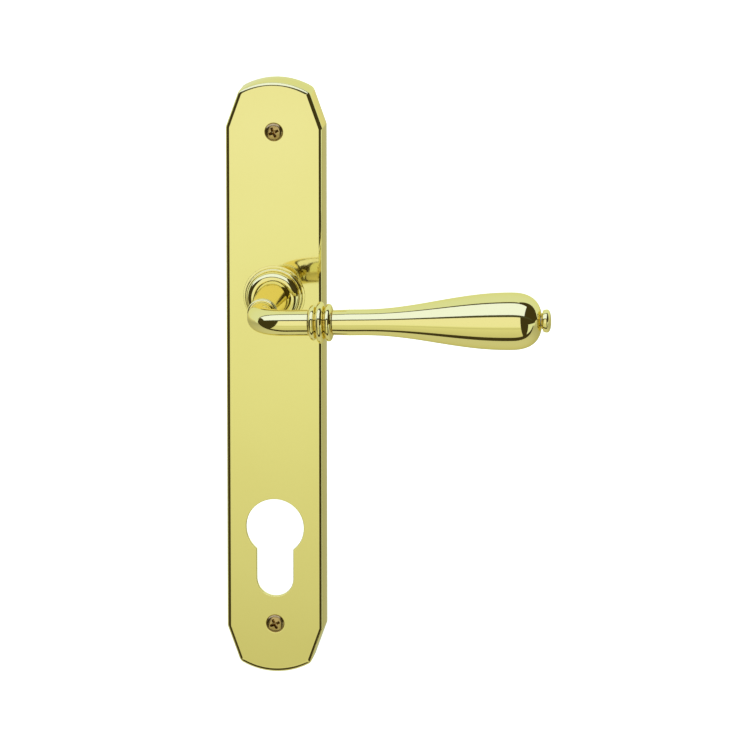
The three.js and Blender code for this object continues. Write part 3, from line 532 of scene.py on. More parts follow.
def quadrant(inset):
    """The backplate's outline from the middle of its right side to the top of its end arc."""
    length = math.hypot(CHAMFER_WIDTH, CHAMFER_HEIGHT)
    normal = Vector((CHAMFER_HEIGHT, CHAMFER_WIDTH)) / length
    along = Vector((-normal.y, normal.x))
    half_chord = HALF_WIDTH - CHAMFER_WIDTH
    arc_radius = (half_chord**2 + END_ARC_RISE**2) / (2 * END_ARC_RISE)
    arc_centre = Vector((0, HALF_HEIGHT - arc_radius))
    side_top = Vector((HALF_WIDTH, HALF_HEIGHT - END_ARC_RISE - CHAMFER_HEIGHT))
    x = HALF_WIDTH - inset
    low_corner = Vector((x, (normal.dot(side_top) - inset - normal.x * x) / normal.y))
    radius = arc_radius - inset
    from_centre = low_corner - arc_centre
    half = along.dot(from_centre)
    to_arc = math.sqrt(half**2 - from_centre.length_squared + radius**2) - half
    high_corner = low_corner + along * to_arc
    start = math.atan2(high_corner.y - arc_centre.y, high_corner.x)

    def on_arc(angle):
        """A point of the end arc."""
        return arc_centre + heading(angle) * radius

    corner_radius = FACE_CORNER_RADIUS + max(0.0, EDGE_INSET - inset)
    low_reach = corner_radius * math.tan(math.atan2(CHAMFER_WIDTH, CHAMFER_HEIGHT) / 2)
    turn = start - math.atan2(normal.y, normal.x)
    high_reach = corner_radius * math.tan(turn / 2)
    up = Vector((0, 1))
    arc_start = start + high_reach / radius

    def corner(before, at, after):
        """Points round one softened corner, without the last."""
        return [curve(before, at, after, k / CORNER_POINTS) for k in range(CORNER_POINTS)]

    low_before, low_after = low_corner - up * low_reach, low_corner + along * low_reach
    high_before, high_after = high_corner - along * high_reach, on_arc(arc_start)
    points = between((x, 0), low_before, SIDE_POINTS)
    points += corner(low_before, low_corner, low_after)
    points += between(low_after, high_before, CHAMFER_POINTS)
    points += corner(high_before, high_corner, high_after)
    for k in range(END_ARC_POINTS + 1):
        points.append(on_arc(arc_start + (QUARTER_TURN - arc_start) * k / END_ARC_POINTS))
    return points


def plate_loop(inset):
    """The backplate's outline moved inwards, as (x, z) points of the same count at every inset."""
    part = quadrant(inset)
    loop = [(p.x, p.y) for p in part]
    loop += [(-p.x, p.y) for p in reversed(part[:-1])]
    loop += [(-p.x, -p.y) for p in part[1:]]
    loop += [(p.x, -p.y) for p in reversed(part[1:-1])]
    return [(x, z + PLATE_CENTRE_Z) for x, z in loop]


def cutout_loop(grow):
    """The cylinder cut-out grown outwards, as (x, z) points."""
    head = CUTOUT_RADIUS + grow
    leg = CUTOUT_LEG_WIDTH / 2 + grow
    foot = CUTOUT_RADIUS - CUTOUT_HEIGHT + CUTOUT_LEG_WIDTH / 2
    joint = math.sqrt(head**2 - leg**2)
    start = math.atan2(-joint, leg)
    sweep = math.pi - 2 * start
    turns = [start + sweep * k / CUTOUT_HEAD_POINTS for k in range(CUTOUT_HEAD_POINTS)]
    points = [heading(a) * head for a in turns]
    points += between((-leg, -joint), (-leg, foot), CUTOUT_LEG_POINTS)
    turns = [math.pi + math.pi * k / CUTOUT_FOOT_POINTS for k in range(CUTOUT_FOOT_POINTS)]
    points += [Vector((0, foot)) + heading(a) * leg for a in turns]
    points += between((leg, foot), (leg, -joint), CUTOUT_LEG_POINTS)
    return [(p.x, p.y + CUTOUT_Z) for p in points]


def circle_loop(z, radius, count=ROUND):
    """A function that gives a circle on the plate's middle line, grown by an amount."""
    angles = [FULL_TURN * k / count for k in range(count)]

    def loop(grow):
        """The circle's (x, z) points."""
        reach = radius + grow
        return [(reach * math.cos(a), z + reach * math.sin(a)) for a in angles]

    return loop


def box_loop(x, z, half_width, half_height, corner):
    """A function that gives the rounded rectangle grown by an amount."""

    def loop(grow):
        """The rectangle's (x, z) points."""
        w, h = half_width + grow, half_height + grow
        r = max(corner + grow, LEAST_BOX_CORNER)
        centres = ((w - r, h - r), (r - w, h - r), (r - w, r - h), (w - r, r - h))
        points = []
        for k, (cx, cz) in enumerate(centres):
            for s in range(BOX_CORNER_POINTS + 1):
                a = QUARTER_TURN * (k + s / BOX_CORNER_POINTS)
                points.append((x + cx + r * math.cos(a), z + cz + r * math.sin(a)))
        return points

    return loop


# ---------------------------------------------------------------- backplate

# How far a ring of extra points lies inside each edge of the face, which keeps the face flat.
FACE_MARGIN = 0.35
HOLE_ROUND = 0.25
SCREW_SEAT_CLEARANCE = 0.12
EDGE_ROUND_STEPS = 10
# Places of the extra loops on the side wall, which keep it flat.
WALL_LOOP_DROP = 3.2
WALL_LOOP_HEIGHT = 6.0


def make_face_plate():
    """The hollow pressed plate, with its bevelled edge and holes."""
    bm = bmesh.new()
    edge = [
        (EDGE_INSET + FACE_MARGIN, PLATE_DEPTH),
        (EDGE_INSET, PLATE_DEPTH),
        (EDGE_INSET - BEVEL_WIDTH, PLATE_DEPTH - BEVEL_DROP),
    ]
    edge = soften(edge, FINE_EDGE)
    last_inset, last_height = edge[-1]
    start_angle = math.atan2(BEVEL_DROP, BEVEL_WIDTH)
    for k in range(1, EDGE_ROUND_STEPS + 1):
        angle = start_angle + (QUARTER_TURN - start_angle) * k / EDGE_ROUND_STEPS
        share_in = (math.sin(angle) - math.sin(start_angle)) / (1 - math.sin(start_angle))
        share_down = (math.cos(start_angle) - math.cos(angle)) / math.cos(start_angle)
        edge.append((last_inset * (1 - share_in), last_height - EDGE_ROUND_DROP * share_down))
    edge.append((0.0, PLATE_DEPTH - WALL_LOOP_DROP))
    back = [(0.0, WALL_LOOP_HEIGHT), (0.0, 0.0), (PLATE_WALL, 0.0), (PLATE_WALL, HOLLOW_TOP)]
    outer = walls(bm, plate_loop, edge + soften(back, MOULDED_EDGE))
    rounded_edge = [(FACE_MARGIN, PLATE_DEPTH), (0.0, PLATE_DEPTH), (0.0, HOLLOW_TOP)]
    hole_side = soften(rounded_edge, HOLE_ROUND)
    holes = [walls(bm, cutout_loop, hole_side)]
    holes.append(walls(bm, circle_loop(0, COLLAR_HOLE_RADIUS), hole_side))
    rim = SCREW_HEAD_RADIUS + SCREW_SEAT_CLEARANCE
    sink = rim - FIXING_HOLE_RADIUS
    countersink = [
        (FACE_MARGIN, PLATE_DEPTH),
        (0.0, PLATE_DEPTH),
        (-sink, PLATE_DEPTH - sink),
        (-sink, HOLLOW_TOP),
    ]
    for z in screw_zs.values():
        holes.append(walls(bm, circle_loop(z, rim, SMALL_ROUND), soften(countersink, FINE_EDGE)))
    fill(bm, [outer[0]] + [hole[0] for hole in holes])
    fill(bm, [outer[1]] + [hole[1] for hole in holes])
    return object_from(bm, "backplate_shell")


# Carrier: round pocket for the spring housing with two side slots, window, and cored cells.
POCKET_RADIUS = 14.7
SLOT_HALF_WIDTH = 4.3
SLOT_HALF_HEIGHT = 22.5
POCKET_ARC_POINTS = 40
WINDOW_MARGIN = 3.9
CELL_WIDTH = 13.2
CELL_HEIGHT = 9.6
CELL_CORNER = 1.4
CELL_DEPTH = 8.8
CELL_DRAFT = 0.25
RIB = 2.0
UPPER_CELLS_START = 27.5
UPPER_CELL_ROWS = 2
LOWER_CELLS_START = -28
LOWER_CELL_ROWS = 4


def make_carrier():
    """The moulded carrier behind the plate, with its window, pocket and cored cells."""
    low, high = box_mm("sub_plate")
    front, back = -low.y, -high.y
    inset = HALF_WIDTH - high.x
    bm = bmesh.new()
    side = soften([(inset + 1, front), (inset, front), (inset, back), (inset + 1, back)], 0.35)
    outer = walls(bm, plate_loop, side)
    through = soften([(1, front), (0, front), (0, back), (1, back)], MOULDED_EDGE)

    def pocket(grow):
        """The pocket and its slots grown outwards, as (x, z) points."""
        radius, half = POCKET_RADIUS + grow, SLOT_HALF_WIDTH + grow
        reach = SLOT_HALF_HEIGHT + grow
        join = math.atan2(math.sqrt(radius**2 - half**2), half)
        shares = [k / POCKET_ARC_POINTS for k in range(POCKET_ARC_POINTS + 1)]
        right = [heading(join - 2 * join * (1 - share)) * radius for share in shares]
        top = [Vector((half, reach)), Vector((-half, reach))]
        points = right + top + [-p for p in right] + [-p for p in top]
        return [(p.x, p.y) for p in points]

    holes = [
        walls(bm, lambda grow: cutout_loop(WINDOW_MARGIN + grow), through),
        walls(bm, pocket, through),
    ]
    for z in screw_zs.values():
        holes.append(walls(bm, circle_loop(z, FIXING_HOLE_RADIUS, SMALL_ROUND), through))
    middle = CELL_HEIGHT / 2
    step = CELL_HEIGHT + RIB
    rows = [UPPER_CELLS_START + middle + row * step for row in range(UPPER_CELL_ROWS)]
    rows += [LOWER_CELLS_START - middle - row * step for row in range(LOWER_CELL_ROWS)]
    cell_side = [(0.6, back), (0, back), (-CELL_DRAFT, CELL_DEPTH), (-1.2, CELL_DEPTH)]
    cell_side = soften(cell_side, MOULDED_EDGE)
    cells = []
    for z in rows:
        for x in (-(CELL_WIDTH + RIB) / 2, (CELL_WIDTH + RIB) / 2):
            cell = walls(bm, box_loop(x, z, CELL_WIDTH / 2, middle, CELL_CORNER), cell_side)
            fill(bm, [cell[1]])
            cells.append(cell[0])
    fill(bm, [outer[0]] + [hole[0] for hole in holes])
    fill(bm, [outer[1]] + [hole[1] for hole in holes] + cells)
    return object_from(bm, "carrier_moulding")


# ---------------------------------------------------------------- collar


COLLAR_BORE = 8.35
COLLAR_SHANK = 9.3
COLLAR_BASE_THICKNESS = 0.4
COLLAR_BEAD_ROOT = 10.6
COLLAR_BEAD_CROWN = 11.2
COLLAR_SEAT_GAP = 0.02
BORE_CHAMFER = 0.3

BUSH_BORE = 7.58
BUSH_WALL_RADIUS = 8.28
BUSH_FLANGE_THICKNESS = 0.4


def make_collar():
    """The collar on the plate: a thin base and one bead, with its shank behind."""
    low, high = box_mm("guide_collar")
    back, front, base = -high.y, -low.y, high.x
    seat = PLATE_DEPTH + COLLAR_SEAT_GAP
    base_front = PLATE_DEPTH + COLLAR_BASE_THICKNESS
    profile = [
        (COLLAR_BORE, back),
        (COLLAR_SHANK, back),
        (COLLAR_SHANK, seat),
        (base, seat),
        (base, base_front),
        *bead(base_front, front, COLLAR_BEAD_ROOT, COLLAR_BEAD_CROWN),
        (COLLAR_BORE + BORE_CHAMFER, front),
        (COLLAR_BORE, front - BORE_CHAMFER),
    ]
    bm = bmesh.new()
    turned(bm, soften(profile, FINE_EDGE), on_spindle)
    return object_from(bm, "collar_beads")


def make_bush():
    """The nylon sleeve in the collar, with its thin front flange."""
    low, high = box_mm("collar_bush")
    back, front, flange = -high.y, -low.y, high.x
    flange_back = front - BUSH_FLANGE_THICKNESS
    profile = [
        (BUSH_BORE, back),
        (BUSH_WALL_RADIUS, back),
        (BUSH_WALL_RADIUS, flange_back),
        (flange, flange_back),
        (flange, front),
        (BUSH_BORE, front),
        (BUSH_BORE, back + 0.2),
    ]
    bm = bmesh.new()
    turned(bm, soften(profile, SMALL_EDGE), on_spindle)
    return object_from(bm, "collar_liner")


# ---------------------------------------------------------------- lever

NECK_BACK = -box_mm("lever_neck")[1].y
JOURNAL_RADIUS = 7.5
JOURNAL_CHAMFER = 0.4
GROOVE_RADIUS = 6.8
GROOVE_BACK = 7.2
GROOVE_FRONT = 8.1
RIM_BACK = 15.65
RIM_FRONT = 16.25
RIM_RADIUS = 10.3
SHOULDER_RADIUS = 7.4
SHOULDER_FRONT = 18.65
BELL_FRONT = ARM_HEIGHT - 19
BELL_SWEEP = 1.1
ROOT_BEAD_WIDTH = 1.4
ROOT_BEAD_CROWN = 5.85
SOCKET_HALF = 4.1
SOCKET_DEPTH = 23.2
SOCKET_CORNER = 0.3
STUD_HOLE_DEPTH = 6.5
SHOULDER_STEPS = 16
BELL_STEPS = 24
BEND_STEPS = 40


def neck_profile():
    """(radius, path length) points from the journal to the end of the elbow's tube."""
    profile = [
        (JOURNAL_RADIUS - JOURNAL_CHAMFER, NECK_BACK),
        (JOURNAL_RADIUS, NECK_BACK + JOURNAL_CHAMFER),
        (JOURNAL_RADIUS, GROOVE_BACK),
        (GROOVE_RADIUS, GROOVE_BACK),
        (GROOVE_RADIUS, GROOVE_FRONT),
        (JOURNAL_RADIUS, GROOVE_FRONT),
        (JOURNAL_RADIUS, RIM_BACK),
        (RIM_RADIUS, RIM_BACK),
        (RIM_RADIUS, RIM_FRONT),
    ]
    profile = soften(profile, TURNED_EDGE)
    for k in range(1, SHOULDER_STEPS + 1):
        angle = QUARTER_TURN * k / SHOULDER_STEPS
        radius = SHOULDER_RADIUS + (RIM_RADIUS - SHOULDER_RADIUS) * math.cos(angle)
        profile.append((radius, RIM_FRONT + (SHOULDER_FRONT - RIM_FRONT) * math.sin(angle)))
    for k in range(1, BELL_STEPS + 1):
        share = k / BELL_STEPS
        radius = TUBE_RADIUS + (SHOULDER_RADIUS - TUBE_RADIUS) * (1 - share) ** BELL_SWEEP
        profile.append((radius, SHOULDER_FRONT + (BELL_FRONT - SHOULDER_FRONT) * share))
    middle = BELL_FRONT + ROOT_BEAD_WIDTH
    profile += bead(BELL_FRONT, middle, TUBE_RADIUS, ROOT_BEAD_CROWN)[1:]
    profile += bead(middle, middle + ROOT_BEAD_WIDTH, TUBE_RADIUS, ROOT_BEAD_CROWN)[1:]
    bend_start = ARM_HEIGHT - BEND_RADIUS
    bend_end = bend_start + QUARTER_TURN * BEND_RADIUS
    for k in range(BEND_STEPS + 1):
        profile.append((TUBE_RADIUS, bend_start + (bend_end - bend_start) * k / BEND_STEPS))
    tube_end = bend_end + TUBE_END - BEND_RADIUS
    end_face = [
        (TUBE_RADIUS, tube_end - 2),
        (TUBE_RADIUS, tube_end),
        (STUD_HOLE_RADIUS, tube_end),
    ]
    profile += soften(end_face, FACED_EDGE)
    hole_end = tube_end - STUD_HOLE_DEPTH
    profile += [(STUD_HOLE_RADIUS, hole_end), (0, hole_end)]
    return profile


def on_elbow(across, up, along):
    """A point beside the neck's path: off the spindle, round the bend, then along the arm."""
    bend_start = ARM_HEIGHT - BEND_RADIUS
    bend_length = QUARTER_TURN * BEND_RADIUS
    turn = min(max(along - bend_start, 0.0), bend_length) / BEND_RADIUS
    inwards = ARM_DIRECTION * math.cos(turn) - TOWARDS_HAND * math.sin(turn)
    if turn == 0:
        middle = TOWARDS_HAND * along
    else:
        centre = TOWARDS_HAND * bend_start + ARM_DIRECTION * BEND_RADIUS
        beyond = max(along - bend_start - bend_length, 0.0)
        middle = centre - inwards * BEND_RADIUS + ARM_DIRECTION * beyond
    return middle + inwards * across + ARM_UP * up


def make_neck():
    """The journal, bell, root beads and elbow in one, with the square socket and screw hole."""
    bm = bmesh.new()
    rings = swept(bm, neck_profile(), on_elbow)
    socket = box_loop(0, 0, SOCKET_HALF, SOCKET_HALF, SOCKET_CORNER)
    socket_side = [(0.3, NECK_BACK), (0, NECK_BACK + 0.3), (0, SOCKET_DEPTH)]
    mouth, end = walls(bm, socket, soften(socket_side, SMALL_EDGE))
    fill(bm, [rings[0], mouth])
    fill(bm, [end])
    piece = object_from(bm, "lever_shank")
    low, high = box_mm("spindle_set_screw")
    hole = bmesh.new()
    middle = (low.y + high.y) / 2
    hole_radius, start, end = high.x + 0.05, low.z - 4, 0.5 - SOCKET_HALF
    sides = [(0, start), (hole_radius, start), (hole_radius, end), (0, end)]

    def upright(across, up, along):
        """A point beside the set screw's upright axis."""
        return Vector((across, middle + up, along))

    turned(hole, sides, upright, SMALL_ROUND)
    cut(piece, object_from(hole, "set_screw_hole"))
    return piece


BEAD_WIDTHS = (2.4, 3.2, 2.6)
BEAD_CROWNS = (6.75, 8.0, 7.2)
BEAD_ROOT = 5.4
RING_BEAD_STEPS = 18


def make_bead_ring():
    """The ring of three beads between the elbow and the grip."""
    place = RING_START
    gap = (RING_END - RING_START - sum(BEAD_WIDTHS)) / 4
    profile = [(STUD_HOLE_RADIUS, RING_START), (BEAD_ROOT, RING_START)]
    for width, crown in zip(BEAD_WIDTHS, BEAD_CROWNS):
        place += gap
        profile += bead(place, place + width, BEAD_ROOT, crown, RING_BEAD_STEPS)
        place += width
    profile += [(BEAD_ROOT, RING_END), (STUD_HOLE_RADIUS, RING_END)]
    bm = bmesh.new()
    turned(bm, soften(profile, SMALL_EDGE), on_arm)
    return object_from(bm, "bead_collar")


GRIP_ROOT_LENGTH = 6
GRIP_SEAT_RADIUS = 3.2
GRIP_STEPS = 90
GRIP_END_STEPS = 48


def grip_radius(along):
    """The grip's radius at a distance along the arm, up to the start of its rounded end."""
    if along < SWELL_START:
        settle = min((along - GRIP_START) / GRIP_ROOT_LENGTH, 1)
        return GRIP_ROOT_RADIUS + (TUBE_RADIUS - GRIP_ROOT_RADIUS) * settle
    share = (along - SWELL_START) / (SWELL_END - SWELL_START)
    return TUBE_RADIUS + (GRIP_RADIUS - TUBE_RADIUS) * (1 - math.cos(math.pi * share)) / 2


def make_grip():
    """The turned grip: a slim root, a long swell and a blunt round end."""
    root_face = [
        (STUD_HOLE_RADIUS, GRIP_START + 1),
        (STUD_HOLE_RADIUS, GRIP_START),
        (GRIP_ROOT_RADIUS, GRIP_START),
    ]
    profile = soften(root_face, FACED_EDGE)
    for k in range(1, GRIP_STEPS + 1):
        along = GRIP_START + (SWELL_END - GRIP_START) * k / GRIP_STEPS
        profile.append((grip_radius(along), along))
    last_angle = math.acos((GRIP_SEAT_RADIUS / GRIP_RADIUS) ** (GRIP_BLUNTNESS / 2))
    full = (GRIP_END - SWELL_END) / math.sin(last_angle) ** (2 / GRIP_BLUNTNESS)
    for k in range(1, GRIP_END_STEPS + 1):
        angle = last_angle * k / GRIP_END_STEPS
        radius = GRIP_RADIUS * math.cos(angle) ** (2 / GRIP_BLUNTNESS)
        profile.append((radius, SWELL_END + full * math.sin(angle) ** (2 / GRIP_BLUNTNESS)))
    profile.append((STUD_HOLE_RADIUS, GRIP_END))
    bm = bmesh.new()
    turned(bm, profile, on_arm)
    return object_from(bm, "grip_body")


FINIAL_NECK = 3.0
FINIAL_CROWN = 4.4
FINIAL_EDGE = 0.5
FINIAL_STEPS = 24
FINIAL_FLATNESS = 0.62
FINIAL_HOLE_DEPTH = 2.4


def make_finial():
    """The small button nut on the grip's end, with its blind hole for the stud."""
    back = GRIP_END + 0.3
    under = back + 0.5
    profile = [
        (STUD_HOLE_RADIUS, back),
        (FINIAL_NECK, back),
        (FINIAL_NECK + 0.2, back + 0.35),
        (FINIAL_CROWN - FINIAL_EDGE, under),
    ]
    profile = soften(profile, FINE_EDGE)
    middle = (under + LEVER_REACH) / 2
    half = (LEVER_REACH - under) / 2
    for k in range(1, FINIAL_STEPS + 1):
        angle = -QUARTER_TURN + math.pi * k / FINIAL_STEPS
        if angle < 0:
            radius = FINIAL_CROWN - FINIAL_EDGE + FINIAL_EDGE * math.cos(angle)
        else:
            radius = FINIAL_CROWN * max(math.cos(angle), 0) ** FINIAL_FLATNESS
        profile.append((radius, middle + half * math.sin(angle)))
    profile[-1] = (0, LEVER_REACH)
    bm = bmesh.new()
    hole_end = GRIP_END + FINIAL_HOLE_DEPTH
    closed = [(0, hole_end), (STUD_HOLE_RADIUS, hole_end)] + profile
    turned(bm, closed, on_arm, SMALL_ROUND)
    return object_from(bm, "end_finial")


# ---------------------------------------------------------------- screws and spindle


SCREW_SHANK = 1.75
SCREW_ROOT = 1.25
THREAD_PITCH = 1.6
THREAD_SHARPNESS = 3.2
THREAD_TOP = 3.0
POINT_LENGTH = 3.5
POINT_BLUNT = 0.4
THREAD_STEPS = 150
SCREW_ROUND = 32
HEAD_EDGE_RISE = 0.06
DOME_STEPS = 14
RECESS_HALF = 0.5
RECESS_REACH = 2.15
RECESS_DEPTH = 0.75
RECESS_ANGLE = math.radians(24)


def make_fixing_screw(name, z):
    """Raised countersunk wood screw with a helical thread and a cross recess."""
    bm = bmesh.new()
    angles = [FULL_TURN * s / SCREW_ROUND for s in range(SCREW_ROUND)]

    def ring_at(radii, height):
        """A ring round the screw's axis, with a radius for each angle."""
        points = zip(radii, angles)
        return [bm.verts.new((r * math.cos(a), -height, z + r * math.sin(a))) for r, a in points]

    rings = []
    start = SCREW_TIP + POINT_BLUNT
    for k in range(THREAD_STEPS + 1):
        height = start + (THREAD_TOP - start) * k / THREAD_STEPS
        taper = min((height - SCREW_TIP) / POINT_LENGTH, 1.0)
        fade = min((THREAD_TOP - height) / THREAD_PITCH, 1.0)
        radii = []
        for s in range(SCREW_ROUND):
            phase = (height / THREAD_PITCH - s / SCREW_ROUND) % 1.0
            ridge = max(0.0, 1 - abs(phase - 0.5) * THREAD_SHARPNESS)
            radii.append(taper * (SCREW_ROOT + (SCREW_SHANK - SCREW_ROOT) * ridge * fade))
        rings.append(ring_at(radii, height))
    head_edge = PLATE_DEPTH + HEAD_EDGE_RISE
    head = [
        (SCREW_ROOT, THREAD_TOP),
        (SCREW_SHANK, THREAD_TOP + 0.5),
        (SCREW_SHANK, PLATE_DEPTH - SCREW_HEAD_RADIUS + SCREW_SHANK),
        (SCREW_HEAD_RADIUS - 0.08, PLATE_DEPTH - 0.1),
        (SCREW_HEAD_RADIUS, head_edge),
    ]
    profile = soften(head, 0.08)[1:]
    for k in range(1, DOME_STEPS):
        turn = QUARTER_TURN * k / DOME_STEPS
        height = head_edge + (SCREW_FRONT - head_edge) * math.sin(turn)
        profile.append((SCREW_HEAD_RADIUS * math.cos(turn), height))
    rings += [ring_at([radius] * SCREW_ROUND, height) for radius, height in profile]
    rings.append([bm.verts.new((0, -SCREW_FRONT, z))])
    rings.insert(0, [bm.verts.new((0, -SCREW_TIP, z))])
    skin_all(bm, rings)
    piece = object_from(bm, name)
    recess = bmesh.new()
    half, reach, deep = RECESS_HALF, RECESS_REACH, PLATE_DEPTH - RECESS_DEPTH
    inner = half * 1.25
    arm = [Vector(p) for p in ((reach, half), (inner, inner), (half, reach))]
    outline = [
        Matrix.Rotation(RECESS_ANGLE + QUARTER_TURN * k, 2) @ p for k in range(4) for p in arm
    ]
    stations = [(1.12, SCREW_FRONT + 0.6), (0.62, deep), (0.1, deep - 0.5)]
    loops = [[recess.verts.new((p.x * s, -h, z + p.y * s)) for p in outline] for s, h in stations]
    skin_all(recess, loops)
    fill(recess, [loops[0]])
    fill(recess, [loops[-1]])
    cut(piece, object_from(recess, "cross_recess"))
    return piece


SPINDLE_CORNER = 0.35
SPINDLE_CHAMFER = 0.6
# How far a ring of extra points lies inside each end face of the spindle.
SPINDLE_END_MARGIN = 1.6

LID_HOLE = 6.3
LID_PRESSING = 0.18


def make_spindle():
    """The square bar with chamfered ends."""
    low, high = box_mm("spindle")
    front, back, half = -low.y, -high.y, high.x
    bm = bmesh.new()
    bar = box_loop(0, 0, half, half, SPINDLE_CORNER)
    profile = [
        (-SPINDLE_END_MARGIN, front),
        (-SPINDLE_CHAMFER, front),
        (0, front - SPINDLE_CHAMFER),
        (0, back + SPINDLE_CHAMFER),
        (-SPINDLE_CHAMFER, back),
        (-SPINDLE_END_MARGIN, back),
    ]
    first, last = walls(bm, bar, soften(profile, TURNED_EDGE))
    fill(bm, [first])
    fill(bm, [last])
    return object_from(bm, "square_spindle")


def make_spring_cover():
    """The snap-in lid with its pressed ring-shaped panel."""
    low, high = box_mm("spring_cover")
    back, front, radius = -high.y, -low.y, high.x
    profile = [
        (LID_HOLE, front),
        (radius, front),
        (radius, back),
        (radius - 1.6, back),
        (radius - 2.0, back + LID_PRESSING),
        (LID_HOLE + 1.4, back + LID_PRESSING),
        (LID_HOLE + 1.0, back),
        (LID_HOLE, back),
    ]
    bm = bmesh.new()
    turned(bm, soften(profile, FINE_EDGE), on_spindle)
    return object_from(bm, "spring_lid")


# ---------------------------------------------------------------- putting the pieces in place

place_piece(make_face_plate(), "plate", "face_plate", plate_brass)
place_piece(make_carrier(), "plate", "sub_plate", carrier_nylon)
place_piece(make_collar(), "plate", "guide_collar", plate_brass)
place_piece(make_bush(), "plate", "collar_bush", bearing_nylon)
place_piece(make_spring_cover(), "plate", "spring_cover", plain_steel)
for screw, screw_z in screw_zs.items():
    turned_screw = make_fixing_screw(screw + "_turned", screw_z)
    place_piece(turned_screw, "plate", screw, screw_brass)
place_piece(make_neck(), "lever", "lever_neck", lever_brass)
place_piece(make_bead_ring(), "lever", "bead_ring", lever_brass)
place_piece(make_grip(), "lever", "grip", lever_brass)
place_piece(make_finial(), "lever", "finial", lever_brass)
place_piece(make_spindle(), "lever", "spindle", plain_steel)

# The pieces inside keep their CAD shape and get the same finishes.
for part in frame["record"]["subparts"]:
    node = frame["nodes"][part["node"]]
    if not node.hide_render:
        node.data.materials.clear()
        node.data.materials.append(finishes[part["material_slot"]])

# ---------------------------------------------------------------- studio

PLATE_MIDDLE = Vector((0, 0, PLATE_CENTRE_Z)) * MM


def direction(azimuth, elevation):
    """Unit vector at degrees round from -Y towards +X, and degrees above the horizon."""
    a, e = math.radians(azimuth), math.radians(elevation)
    return Vector((math.sin(a) * math.cos(e), -math.cos(a) * math.cos(e), math.sin(e)))


def along_lever(aside, over):
    """Unit vector at degrees over the lever's own axis from -Y upwards, and degrees towards +X."""
    a, o = math.radians(aside), math.radians(over)
    return Vector((math.sin(a), -math.cos(a) * math.cos(o), math.cos(a) * math.sin(o)))


def mixed(start, end, share):
    """A value part of the way from start to end."""
    return start + (end - start) * share


def height_of(elevation):
    """Height of a unit direction at degrees above the horizon."""
    return math.sin(math.radians(elevation))


def glow(name, stops, strength=1.0):
    """An emission that changes with height above the horizon, from (elevation, colour) stops."""
    nodes = Nodes(name)
    tree = nodes.tree
    tree.nodes.remove(nodes.shader)
    split = tree.nodes.new("ShaderNodeSeparateXYZ")
    nodes.link(nodes.coordinates, split.inputs["Vector"])
    lowest, highest = height_of(stops[0][0]), height_of(stops[-1][0])
    ramp = tree.nodes.new("ShaderNodeValToRGB")
    nodes.link(nodes.ranged(split.outputs["Z"], 0.0, 1.0, lowest, highest), ramp.inputs["Fac"])
    elements = ramp.color_ramp.elements
    for index, (elevation, colour) in enumerate(stops):
        position = (height_of(elevation) - lowest) / (highest - lowest)
        if index in (0, len(stops) - 1):
            element = elements[0 if index == 0 else -1]
        else:
            element = elements.new(position)
        element.position = position
        element.color = (*colour, 1)
    emission = tree.nodes.new("ShaderNodeEmission")
    emission.inputs["Strength"].default_value = strength
    nodes.link(ramp.outputs["Color"], emission.inputs["Color"])
    nodes.link(emission.outputs["Emission"], tree.nodes["Material Output"].inputs["Surface"])
    return nodes.material


def even_glow(name, colour, strength=1.0):
    """An emission of one colour all over."""
    return glow(name, [(-90, colour), (90, colour)], strength)


CARD_STEPS = 24


def card(name, towards, across, upwards, distance, material, across_top=None):
    """A curved studio card that spans two ranges of angles seen from the plate's middle.

    Its sides may lean, from the angles across its bottom to those across its top. Its object is
    scaled so that its own coordinates are unit directions."""
    bm = bmesh.new()
    steps = range(CARD_STEPS + 1)
    grid = []
    for j in steps:
        share = j / CARD_STEPS
        left, right = (mixed(*ends, share) for ends in zip(across, across_top or across))
        over = mixed(*upwards, share)
        row = [towards(mixed(left, right, i / CARD_STEPS), over) for i in steps]
        grid.append([bm.verts.new(point) for point in row])
    for below, above in zip(grid, grid[1:]):
        for i in range(CARD_STEPS):
            bm.faces.new((below[i], below[i + 1], above[i + 1], above[i]))
    panel = mesh_object(bm, name)
    panel.location = PLATE_MIDDLE
    panel.scale = (distance, distance, distance)
    panel.visible_camera = False
    panel.data.materials.append(material)


DARK = (0.055, 0.046, 0.018)
DAYLIGHT = (0.57, 0.67, 1.0)
BOUNCE = (0.94, 0.98, 0.72)
GAP = (0.07, 0.075, 0.045)
TOP_STRENGTH = 1.75
STRIP_DISTANCE = 2.6
FLAG_DISTANCE = 2.7

# Angles over the lever's axis where one strip ends and the next begins.
BACK = -180
LOW_GAP_START = -73
FRONT_START = -56
FRONT_END = 28
TOP_START = 36.5
TOP_END = 87
OVERHEAD_GAP_END = 93
# Angles towards the lever's ends that the plain strips reach.
FULL_WIDTH = (-80, 80)

# The front panel fades downwards, so the plate's face does too.
front_light = glow(
    "front_light",
    [
        (FRONT_START, (0.66, 0.68, 0.42)),
        (-30, (0.75, 0.78, 0.5)),
        (-21, (0.78, 0.82, 0.52)),
        (-17.5, (0.64, 0.66, 0.4)),
        (-13.1, (0.84, 0.89, 0.6)),
        (-10.3, (0.92, 0.985, 0.75)),
        (-8.5, (0.95, 1.0, 0.82)),
        (FRONT_END, (0.97, 1.0, 0.85)),
    ],
)
bounce_shares = ((-90, 0.72), (-60, 0.7), (-15, 0.5), (-8, 0.58), (0, 0.9))
low_bounce = glow("low_bounce", [(e, [c * share for c in BOUNCE]) for e, share in bounce_shares])
top_light = even_glow("top_light", DAYLIGHT, TOP_STRENGTH)
dark = even_glow("flag_dark", DARK)
gap = even_glow("gap_grey", GAP)

